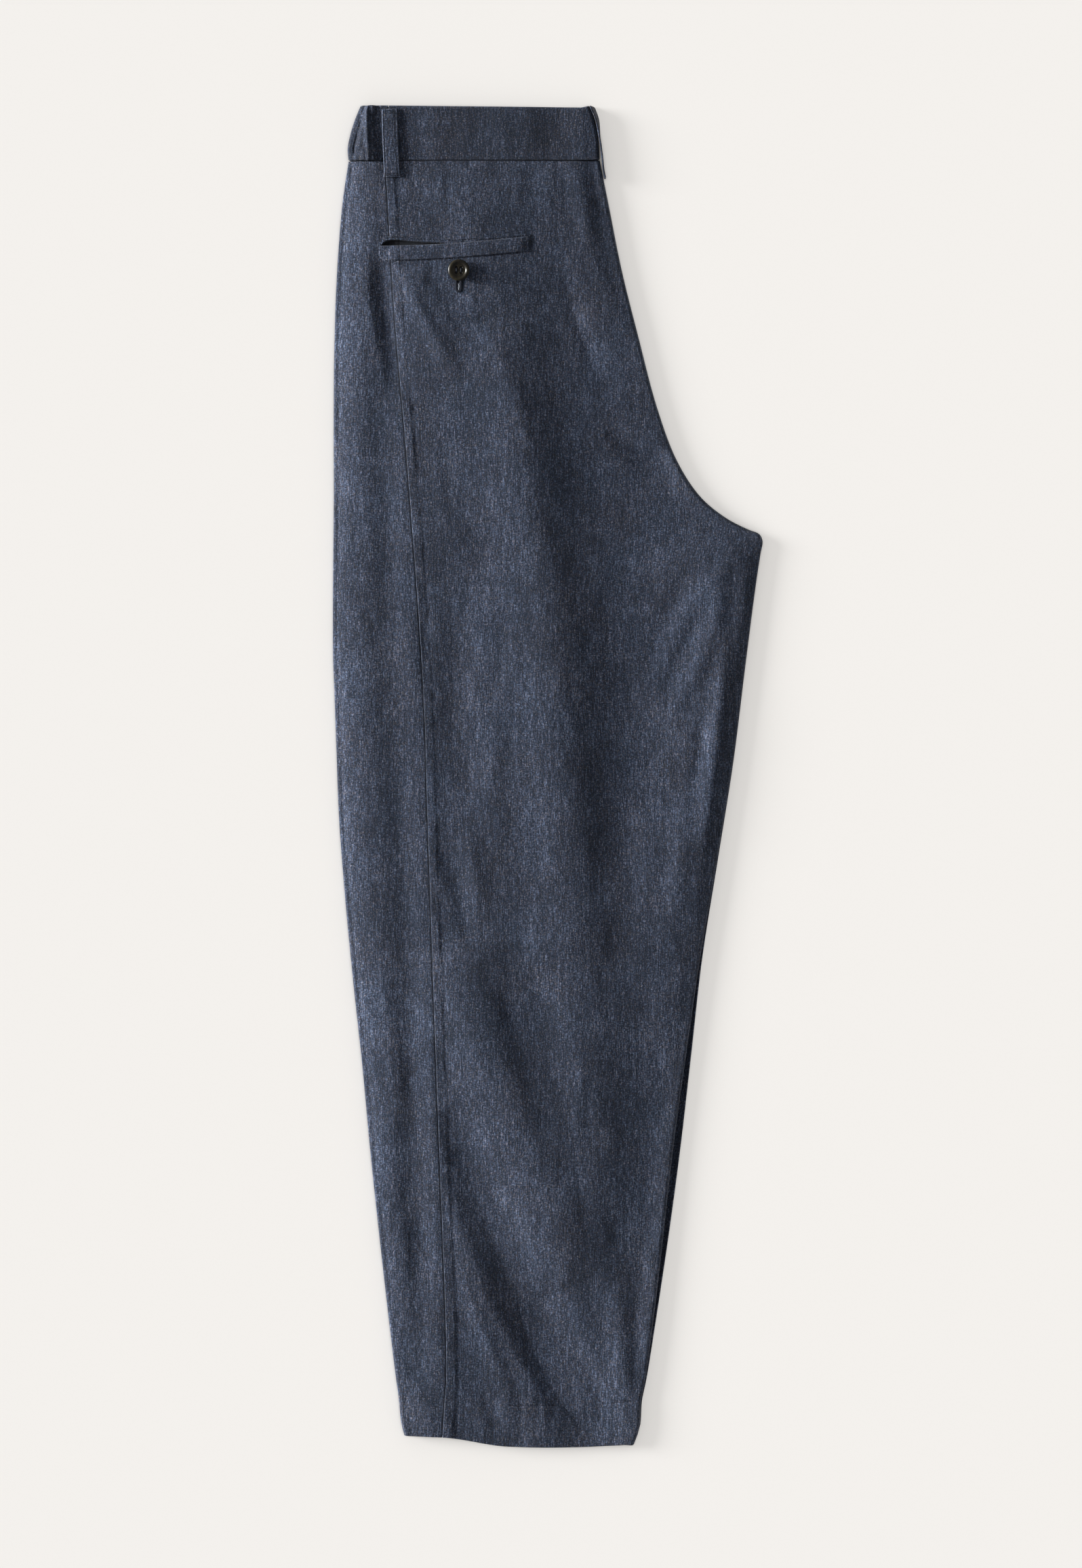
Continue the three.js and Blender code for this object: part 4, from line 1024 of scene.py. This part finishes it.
# The side stretch: from under the left fold, round it, and over to the side loop.
def bandSide():
    section = sectionAt(band, bandRows(bandLook["sideSpacing"]))
    outer = roundAndOver(section, [15.6, 12, 8, 5], 18, 0.4, [0.7, 0.35, 0.15], bandLook["sideColumns"])
    part = clothShell(outer, bandWall(section), rims=(0.5, 0.6, 1.0, 0.9), anchor=-1, shift=(5200, 1700))
    return makePiece("waistbandSide", [part], denimBand, ["waistband_side_upper"])


# The lower half: round the curl at the right, flat across, and round the left fold.
def bandLower():
    section = sectionAt(band, bandRows(bandLook["lowerSpacing"]))
    right = lowerCurl(section, garment["lowerInset"] + garment["foldReach"] + 1 + 0 * section["width"], 30)
    left = lowerFold(section)
    across, z = (np.concatenate([a, b], axis=1) for a, b in zip(right, left))
    part = clothShell(inSpace(section, across, z), bandWall(section), rims=(0.5, 0.5, 1.0, 0.9),
                      shift=(7000, 1700))
    return makePiece("waistbandLower", [part], denimBand, ["waistband_lower"])


# The back pocket's welt: a strip along its line, bulged across, with a round lower left corner.
def pocketWelt():
    left, right, width = welt["left"], welt["right"], welt["width"]
    x = placesBetween(left, right, lambda at: np.where(np.minimum(at - left, right - at) < 2, 0.3, 0.9))
    side = np.concatenate([[-1, -0.985, -0.95, -0.89], np.linspace(-0.8, 0.8, 12), [0.89, 0.95, 0.985, 1]])
    x, side = np.meshgrid(x, side[::-1])
    radius = np.where(side < 0, welt["corner"], 1.0)
    cut = radius - np.sqrt(np.maximum(radius**2 - np.maximum(radius - (x - left), 0) ** 2, 0))
    y = weltLine(x) + side * (width / 2 - cut)
    base = surfaceAt(x, y) - mouthSink(x, y)
    bulge = 0.25 * (1 - side**2) + 0.12 * unevenness(x, y, 51, 7, 5)
    edge = 0.18 * np.exp(-(((np.abs(side) - 0.72) / 0.1) ** 2))
    settled = 0.3 + 0.7 * smooth(right - x, 0, 6)
    z = base + (welt["lift"] + welt["thick"]) * settled + bulge - edge
    wear = 0.4 * np.exp(-(((1 - np.abs(side)) / 0.07) ** 2))
    part = clothShell(np.stack([x, y, z], axis=-1), welt["thick"] + 0.3, rims=(0.6, 0.6, 0.6, 0.6),
                      anchor=-1, shift=(150, 2300), wear=wear, laid=np.stack([x, y, 0 * x], axis=-1))
    return makePiece("pocketWelt", [part], denim, ["pocket_welt"])


mouthLook = {"low": -2.6, "lip": 3.2, "left": 2.2, "right": 3, "lipRise": 0.35, "sink": 2.2, "wall": 0.5}


# The mouth's own cloth: a lip round the opening, and the pocket's facing, which sinks down and is darkened
# there with painted shade.
def pocketMouth():
    look = mouthLook
    start, end = mouth["left"] - look["left"], mouth["right"] + look["right"]
    x, rise = np.meshgrid(np.linspace(start, end, 150), np.linspace(0, 1, 34)[::-1])
    opening = gape(x)
    above = look["low"] + (opening + look["lip"] - look["low"]) * rise
    y = weltLine(x) + welt["width"] / 2 + above
    # where the opening gapes: this mask sinks the facing and also gives its painted shade
    inside = smooth(opening, 0.1, 0.9) * smooth(above, -2.0, -0.6)
    inside = inside * (1 - smooth(above, opening - 0.25, opening + 0.2))
    base = surfaceAt(x, y) - mouthSink(x, y)
    fromEnds = np.minimum(x - start, end - x)
    settle = smooth(np.minimum(fromEnds, opening + look["lip"] - above), 0, 1.6)
    lip = look["lipRise"] * np.exp(-(((above - opening - 0.8) / 0.7) ** 2)) * smooth(opening, 0.1, 1)
    z = base + 0.02 + 0.16 * settle + lip - look["sink"] * inside
    # the shade attribute paints shade of up to 0.9 over the opening
    part = clothShell(np.stack([x, y, z], axis=-1), look["wall"], rims=(0.3,) * 4, shift=(80, 20),
                      shade=inside * 0.9)
    return makePiece("pocketMouth", [part], denim)


button = {
    "x": -64.2, "y": 365.6, "radius": 7.8, "thick": 2.6, "lift": 1.9,
    "dish": 0.95, "dishFrom": 4.3, "dishTo": 6.0,
    "holeAt": 1.65, "holeRadius": 0.8, "holeMouth": 1.08, "holeDepth": 1.35,
    # the underside, from the rim in: shares of the radius, and heights
    "underShares": [1.0, 0.985, 0.94, 0.85, 0.5, 0.1], "underHeights": [1.5, 1.0, 0.5, 0.12, 0.0, 0.0],
}


# The four-hole button: a turned disc with a raised rim, dished inside it, drilled with four holes.
def hornButton():
    radius, holeAt = button["radius"], button["holeAt"]
    r = radius * np.linspace(0, 1, 40) ** 0.9
    topZ = button["thick"] - button["dish"] * (1 - smooth(r, button["dishFrom"], button["dishTo"]))
    topZ = topZ - 0.35 * smooth(r, 6.6, 7.5)
    topZ = topZ - 0.55 * np.maximum((r - 7.2) / 0.6, 0) ** 2 * 0.9
    angle = np.arange(144) / 144 * 2 * np.pi
    x, y = r[:, None] * np.cos(angle), r[:, None] * np.sin(angle)
    pit = 0
    for holeX in (-holeAt, holeAt):
        for holeY in (-holeAt, holeAt):
            away = np.hypot(x - holeX, y - holeY)
            pit = pit + 1 - smooth(away, button["holeRadius"], button["holeMouth"])
    upper = np.stack([x, y, topZ[:, None] - button["holeDepth"] * pit], axis=-1)
    underR = radius * np.array(button["underShares"])[:, None]
    underZ = np.array(button["underHeights"])[:, None]
    under = np.stack([underR * np.cos(angle), underR * np.sin(angle), underZ + 0 * angle], axis=-1)
    rings = np.concatenate([upper[1:], under]) + buttonSeat()
    return makePiece("button", [ringBodies(rings)], horn, ["button"])


# The middle of the button's underside, which its shank holds off the cloth.
def buttonSeat():
    height = float(surfaceAt(button["x"], button["y"])) + button["lift"]
    return np.array([button["x"], button["y"], height])


buttonThreadLook = {
    "shifts": (-0.28, 0.0, 0.28), "middleLift": 0.16, "strand": 0.22,
    # half of a strand's path: its share of the shift, how far out, and how high over the dish
    "path": [[0.5, 1.6, -0.9], [0.7, 1.55, -0.3], [1, 1.2, 0.05], [1, 0.5, 0.2]],
    "turns": 6, "wound": 0.27, "core": 0.8,
}


# Two bundles of thread through the holes, and the shank wound below the button: an oval helix round a core.
def buttonThread():
    look, parts = buttonThreadLook, []
    dished = button["thick"] - button["dish"]
    for side in (-button["holeAt"], button["holeAt"]):
        for shift in look["shifts"]:
            up = np.array([[shift * share, -out, high] for share, out, high in look["path"]])
            up[-1, 2] += look["middleLift"] * (shift == 0)
            path = np.concatenate([up, up[::-1] * [1, -1, 1]]) + [side, 0, dished]
            parts.append(threadAlong(curveThrough(path, np.linspace(0, 1, 22)), look["strand"]))
    turn = np.linspace(0, look["turns"] * 2 * np.pi, 150)
    wound = np.stack([0.55 * np.cos(turn), 1.9 * np.sin(turn), -0.3 - 1.7 * turn / turn[-1]], axis=-1)
    parts.append(threadAlong(wound, look["wound"]))
    core = np.linspace([0, 0, -0.1], [0, 0, -2.2], 9)
    parts.append(threadAlong(core, look["core"], 12))
    for part in parts:
        part["vertices"] = part["vertices"] + buttonSeat()
    return makePiece("buttonThread", parts, darkThread, ["button_thread"])


buttonhole = {"x": -64.2, "top": 371.6, "bottom": 350.6, "width": 5.6, "slot": 1.4, "stitches": 96,
              "thread": 0.26}


# The buttonhole: stitches side by side along a line with two straights and two half rounds, each square to
# the line and bowed up in the middle, and between them a thin strip in the thread's dark colour, laid just
# over the cloth as painted shade for the slit.
def buttonholeStitches():
    turn = (buttonhole["width"] + buttonhole["slot"]) / 4
    straight = buttonhole["top"] - buttonhole["bottom"] - 2 * turn
    around = 2 * straight + 2 * np.pi * turn
    at = np.arange(buttonhole["stitches"]) / buttonhole["stitches"] * around
    arc = np.pi * turn
    stage = [at < straight, at < straight + arc, at < 2 * straight + arc, at >= 2 * straight + arc]
    angle = np.select(stage, [0 * at, (at - straight) / turn, np.pi + 0 * at,
                              np.pi + (at - 2 * straight - arc) / turn])
    upperY, lowerY = buttonhole["top"] - turn, buttonhole["bottom"] + turn
    centreY = np.select(stage, [lowerY + at, upperY + 0 * at, upperY - (at - straight - arc),
                                lowerY + 0 * at])
    outward = np.stack([np.cos(angle), np.sin(angle)], axis=-1)
    half = (buttonhole["width"] - buttonhole["slot"]) / 4
    along = np.linspace(-1, 1, 7)
    draw = np.random.default_rng(4).uniform(-0.18, 0.18, len(at))
    reach = turn + half * (along + draw[:, None])
    x = buttonhole["x"] + outward[:, [0]] * reach
    y = centreY[:, None] + outward[:, [1]] * reach
    bow = np.sqrt(1 - np.minimum(np.abs(along), 0.99) ** 2)
    z = surfaceAt(x, y) + 0.02 + 0.42 * bow
    stitches = tubes(np.stack([x, y, z], axis=-1), buttonhole["thread"] * (0.5 + 0.5 * bow), 6)
    # painted shade for the slit: a thin strip of the dark thread colour just over the cloth between the rows
    slotX = buttonhole["x"] + buttonhole["slot"] / 2 * np.array([-1, -0.5, 0, 0.5, 1])
    slotY = np.linspace(buttonhole["bottom"] + 1.2, buttonhole["top"] - 1.2, 24)
    gridX, gridY = np.meshgrid(slotX, slotY[::-1])
    slotZ = surfaceAt(gridX, gridY) + 0.08
    slot = clothShell(np.stack([gridX, gridY, slotZ], axis=-1), 0.1, rims=(0, 0, 0, 0))
    return makePiece("buttonhole", [stitches, slot], darkThread, ["buttonhole"])


# Pale frayed ends of thread in the buttonhole's lower end, in plan
looseEnds = [
    [[-64.7, 356.2], [-64.2, 354.4], [-64.6, 352.8], [-64.0, 351.4]],
    [[-63.8, 356.6], [-64.4, 354.6], [-63.9, 353.0], [-64.5, 351.0]],
    [[-64.2, 355.8], [-63.7, 354.0], [-64.3, 352.4], [-64.2, 350.4]],
]


# A smooth curve through each end's points, just above the cloth.
def looseThread():
    lines = [onSurface(*np.transpose(end), 0.45) for end in looseEnds]
    parts = [threadAlong(curveThrough(line, np.linspace(0, 1, 20)), 0.16, 6, 0.5) for line in lines]
    return makePiece("looseThread", parts, paleThread)


# The side belt loop's plan: a strip that slants a little to the right on its way down and flares at its end.
def loopPlace(share, side):
    wide = sideLoop["width"] + sideLoop["flare"] * smooth(share, 0.9, 1)
    x = sideLoop["x"] + sideLoop["slant"] * share**1.5 + (side - 0.5) * wide
    y = sideLoop["top"] + (sideLoop["bottom"] - sideLoop["top"]) * share
    return x, y


# Its height: over the highest cloth below it, standing off most past the middle, with a groove along each
# row of stitches.
def loopHeight(share, side):
    x, y = loopPlace(share, side)
    seat = np.max([surfaceAt(x, y + dy) for dy in (-1.2, 0, 1.2)], axis=0)
    level = seat.max(axis=1, keepdims=True) * 0.7 + seat * 0.3
    fromSeam = np.minimum(side, 1 - side) - sideLoop["seam"]
    bulge = 0.14 * np.sin(np.pi * side) - 0.16 * np.exp(-((fromSeam / 0.035) ** 2))
    return level + 1.15 + sideLoop["stand"] * np.sin(np.pi * share**1.8) ** 0.7 + bulge


# A strip over its plan at its height, rubbed paler at both edges.
def beltLoopSide():
    share = placesBetween(0, 1, lambda at: np.where(np.minimum(at, 1 - at) < 0.03, 0.004, 0.016))
    side = np.array([0, 0.006, 0.018, 0.036, 0.06, 0.085, 0.105, 0.125, 0.145, 0.17, 0.21, 0.28, 0.38])
    side = np.concatenate([side, [0.5], 1 - side[::-1]])
    side, share = np.meshgrid(side, share)
    x, y = loopPlace(share, side)
    z = loopHeight(share, side)
    edge = np.minimum(side, 1 - side)
    wear = 0.5 * np.exp(-((edge / 0.05) ** 2))
    part = clothShell(np.stack([x, y, z], axis=-1), 1.4, rims=(0.7, 0.7, 0.6, 0.6), shift=(90, 3100),
                      wear=wear)
    return makePiece("beltLoopSide", [part], denim, ["belt_loop_side"])


# The centre back loop stands on edge at the right fold along a line in plan, its top leaning in.
backLoop = {
    "low": 0.4, "high": 11.2, "thick": 1.2, "lean": 3.0, "leanFrom": 456,
    "line": [[34.0, 485.2], [37.2, 476.0], [38.3, 462.0], [39.9, 449.0], [41.1, 438.0], [42.2, 432.8]],
}


# A strip that stands along its line between two heights, with a groove along each edge.
def beltLoopBack():
    face = curveThrough(np.array(backLoop["line"], float), np.linspace(0, 1, 48))
    level = np.concatenate([[0, 0.01, 0.03, 0.06], np.linspace(0.1, 0.9, 14), [0.94, 0.97, 0.99, 1]])[::-1]
    lean = backLoop["lean"] * level * smooth(face[:, [1]], backLoop["leanFrom"], 485.2)
    grooves = 0.1 * np.exp(-(((np.minimum(level, 1 - level) - 0.14) / 0.04) ** 2))
    x = face[:, [0]] - lean - grooves
    z = backLoop["low"] + (backLoop["high"] - backLoop["low"]) * level + 0 * x
    outer = np.stack([x, face[:, [1]] + 0 * x, z], axis=-1)
    part = clothShell(outer, backLoop["thick"], rims=(0.55, 0.55, 0.4, 0.4), shift=(90, 4100))
    return makePiece("beltLoopBack", [part], denimBand, ["belt_loop_back"])


# One row of stitches along the groove above the hem.
def hemStitches():
    t = np.full(240, garment["hemRow"] / garment["hemRows"])
    section = sectionAt(leg, t)
    across = 4 + (section["width"] - 7.5) * np.linspace(0, 1, 240)
    path = inSpace(section, across, outerHeight(section, across))
    row = stitchRow(path, pitch=2.7, share=0.66, radius=0.24)
    return makePiece("hemStitches", [row], darkThread)


# Sewing thread lying deep in the side seam's groove and in the waist seam's, from edge to edge.
def seamThreads():
    section = sectionAt(leg, np.linspace(0.0005, 0.985, 700))
    side = section["seam"]
    seam = inSpace(section, side, outerHeight(section, side) - 0.42).reshape(-1, 3)
    start = sectionAt(leg, np.zeros(1))
    across = 1.0 + np.linspace(0, 1, 280)[None] * (start["width"] - 2.0)
    waist = inSpace(start, across, outerHeight(start, across) - 0.3)[0] + [0, 0.25, 0]
    parts = [threadAlong(seam, 0.26, 6), threadAlong(waist, 0.36, 6)]
    return makePiece("seamThreads", parts, darkThread)


# A row along each edge of the side belt loop, and two close bars across each of its ends.
def loopStitches():
    parts = []
    share = np.linspace(0.02, 0.98, 60)[:, None]
    for place in (sideLoop["seam"], 1 - sideLoop["seam"]):
        x, y = loopPlace(share, np.full(share.shape, place))
        grid = np.linspace(0, 1, 9)[None, :] + 0 * share
        z = loopHeight(share + 0 * grid, grid)
        height = np.array([np.interp(place, grid[0], row) for row in z])
        path = np.stack([x[:, 0], y[:, 0], height - 0.02], axis=-1)
        parts.append(stitchRow(path, pitch=2.2, share=0.7, radius=0.24, seed=3))
    for at in (0.035, 0.06, 0.945, 0.97):
        side = np.linspace(0.06, 0.94, 24)[None, :]
        spot = np.full(side.shape, at)
        x, y = loopPlace(spot, side)
        path = np.stack([x[0], y[0], loopHeight(spot, side)[0] + 0.02], axis=-1)
        parts.append(stitchRow(path, pitch=1.2, share=0.9, radius=0.24, seed=5))
    return makePiece("loopStitches", parts, darkThread)


# The frame round the pocket: above its mouth, on along the welt's top, under the welt, and two bars at its
# right end.
def pocketStitches():
    half, left, right = welt["width"] / 2, welt["left"] + 5, welt["right"] + 1
    x = np.linspace(-117.5, -52, 60)
    above = onSurface(x, weltLine(x) + half + gape(x) + 2.2, 0.24)
    rest = np.linspace(-52, right, 30)
    over = onSurface(rest, weltLine(rest) + half + 1.1, 0.02)
    below = np.linspace(left, right, 80)
    under = onSurface(below, weltLine(below) - half - 0.7, 0.02)
    y = np.linspace(welt["rightY"] - half - 1, welt["rightY"] + half + 1, 16)
    bars = [onSurface(welt["right"] + at, y, 0.05) for at in (0.7, 1.3)]
    parts = [
        stitchRow(above, pitch=2.2, share=0.66, radius=0.26, seed=7),
        stitchRow(over, pitch=2.2, share=0.75, radius=0.28, seed=8),
        stitchRow(under, pitch=2.2, share=0.75, radius=0.28, seed=9),
        *(stitchRow(bar, pitch=1.1, share=0.9, radius=0.26, seed=6) for bar in bars),
    ]
    return makePiece("pocketStitches", parts, darkThread)


print("cloth")
backPiece = backPanel()
frontPiece = frontPanel()
lowerBackPiece = lowerBack()
lowerFrontPiece = lowerFront()
innerPiece = innerLayers()
bandBackPiece = bandBack()
bandSidePiece = bandSide()
bandLowerPiece = bandLower()
print("pocket, button and loops")
weltPiece = pocketWelt()
mouthPiece = pocketMouth()
loopSidePiece = beltLoopSide()
loopBackPiece = beltLoopBack()
hornButton()
buttonThread()
buttonholeStitches()
looseThread()
print("stitches")
hemPiece = hemStitches()
seamPiece = seamThreads()
loopSewing = loopStitches()
pocketSewing = pocketStitches()


studio = {
    "floor": ("#efece8", "#f1eeea"), "floorSize": 12.0, "floorLevel": -0.0002,
    "ambient": 0.32,
    # where each light comes from in degrees round from +X, how high it stands, how wide it is,
    # its strength, and what it lights
    "lamps": {
        "window": (168, 20, 24, 2.0, "all"),
        "raking": (172, 10.5, 14, 9.0, "cloth"),
        "overhead": (0, 88, 30, 1.56, "floor"),
    },
    "backdrop": 0.86,
    "mmPerPixel": 0.49,
    "centre": (-4.9, -5.1),  # plan position, in mm, at the middle of the picture
    "imageHeight": 2313,
    "cameraHeight": 5.0,
    "focusLevel": 0.008,
}


# A plain pale floor: a square of matt card, whose fibres give it a faint even mottle.
def cardFloor():
    material, tree, shader = newMaterial("mattCard")
    place = addNode(tree, "TexCoord", {}).outputs["Object"]
    fibres = addNode(tree, "TexNoise", {"Vector": place, "Scale": 700.0, "Detail": 2.0}).outputs[0]
    ramp = addNode(tree, "ValToRGB", {"Fac": fibres})
    setStops(ramp, (0, 1), map(linear, studio["floor"]))
    tree.links.new(ramp.outputs[0], shader.inputs["Base Color"])
    setSockets(shader, {"Roughness": 0.95})
    mesh = bpy.data.meshes.new("floor")
    size, level = studio["floorSize"], studio["floorLevel"]
    corners = [[-size, -size, level], [size, -size, level], [size, size, level], [-size, size, level]]
    mesh.from_pydata(corners, [], [[0, 1, 2, 3]])
    mesh.materials.append(material)
    floor = bpy.data.objects.new("floor", mesh)
    bpy.context.collection.objects.link(floor)
    return floor


# A white room, brighter to the camera than to the cloth, and suns that each stand at a heading and a height.
# One that is for the cloth or the floor alone is linked to it.
def softLights(floor):
    garmentPieces = [piece for piece in bpy.data.objects if piece.type == "MESH" and piece != floor]
    world = bpy.data.worlds.new("softRoom")
    bpy.context.scene.world = world
    world.use_nodes = True
    room = world.node_tree
    room.nodes["Background"].inputs["Color"].default_value = (1, 1, 1, 1)
    seen = addNode(room, "LightPath", {}).outputs["Is Camera Ray"]
    strength = addNode(room, "Mix", {0: seen, 2: studio["ambient"], 3: studio["backdrop"]}, data_type="FLOAT")
    room.links.new(strength.outputs[0], room.nodes["Background"].inputs["Strength"])
    lit = {}
    for key, pieces in (("cloth", garmentPieces), ("floor", [floor])):
        lit[key] = bpy.data.collections.new(key + "Lit")
        for piece in pieces:
            lit[key].objects.link(piece)
    for name, (heading, elevation, softness, strength, lights) in studio["lamps"].items():
        lamp = bpy.data.lights.new(name, "SUN")
        lamp.energy, lamp.angle = strength, np.radians(softness)
        holder = bpy.data.objects.new(name, lamp)
        holder.rotation_euler = (0, np.radians(90 - elevation), np.radians(heading))
        bpy.context.collection.objects.link(holder)
        if lights in lit:
            holder.light_linking.receiver_collection = lit[lights]


# The camera looks straight down from far off, with a long lens that frames the photograph's field.
def addCamera():
    lens = bpy.data.cameras.new("camera")
    lens.sensor_width = 36
    field = studio["imageHeight"] * studio["mmPerPixel"] * 0.001
    lens.lens = lens.sensor_width * (studio["cameraHeight"] - studio["focusLevel"]) / field
    lens.clip_end = 100
    camera = bpy.data.objects.new("camera", lens)
    camera.location = (studio["centre"][0] * 0.001, studio["centre"][1] * 0.001, studio["cameraHeight"])
    bpy.context.collection.objects.link(camera)
    bpy.context.scene.camera = camera


print("studio")
softLights(cardFloor())
addCamera()
bpy.context.scene.view_settings.view_transform = "Standard"

print("finished")
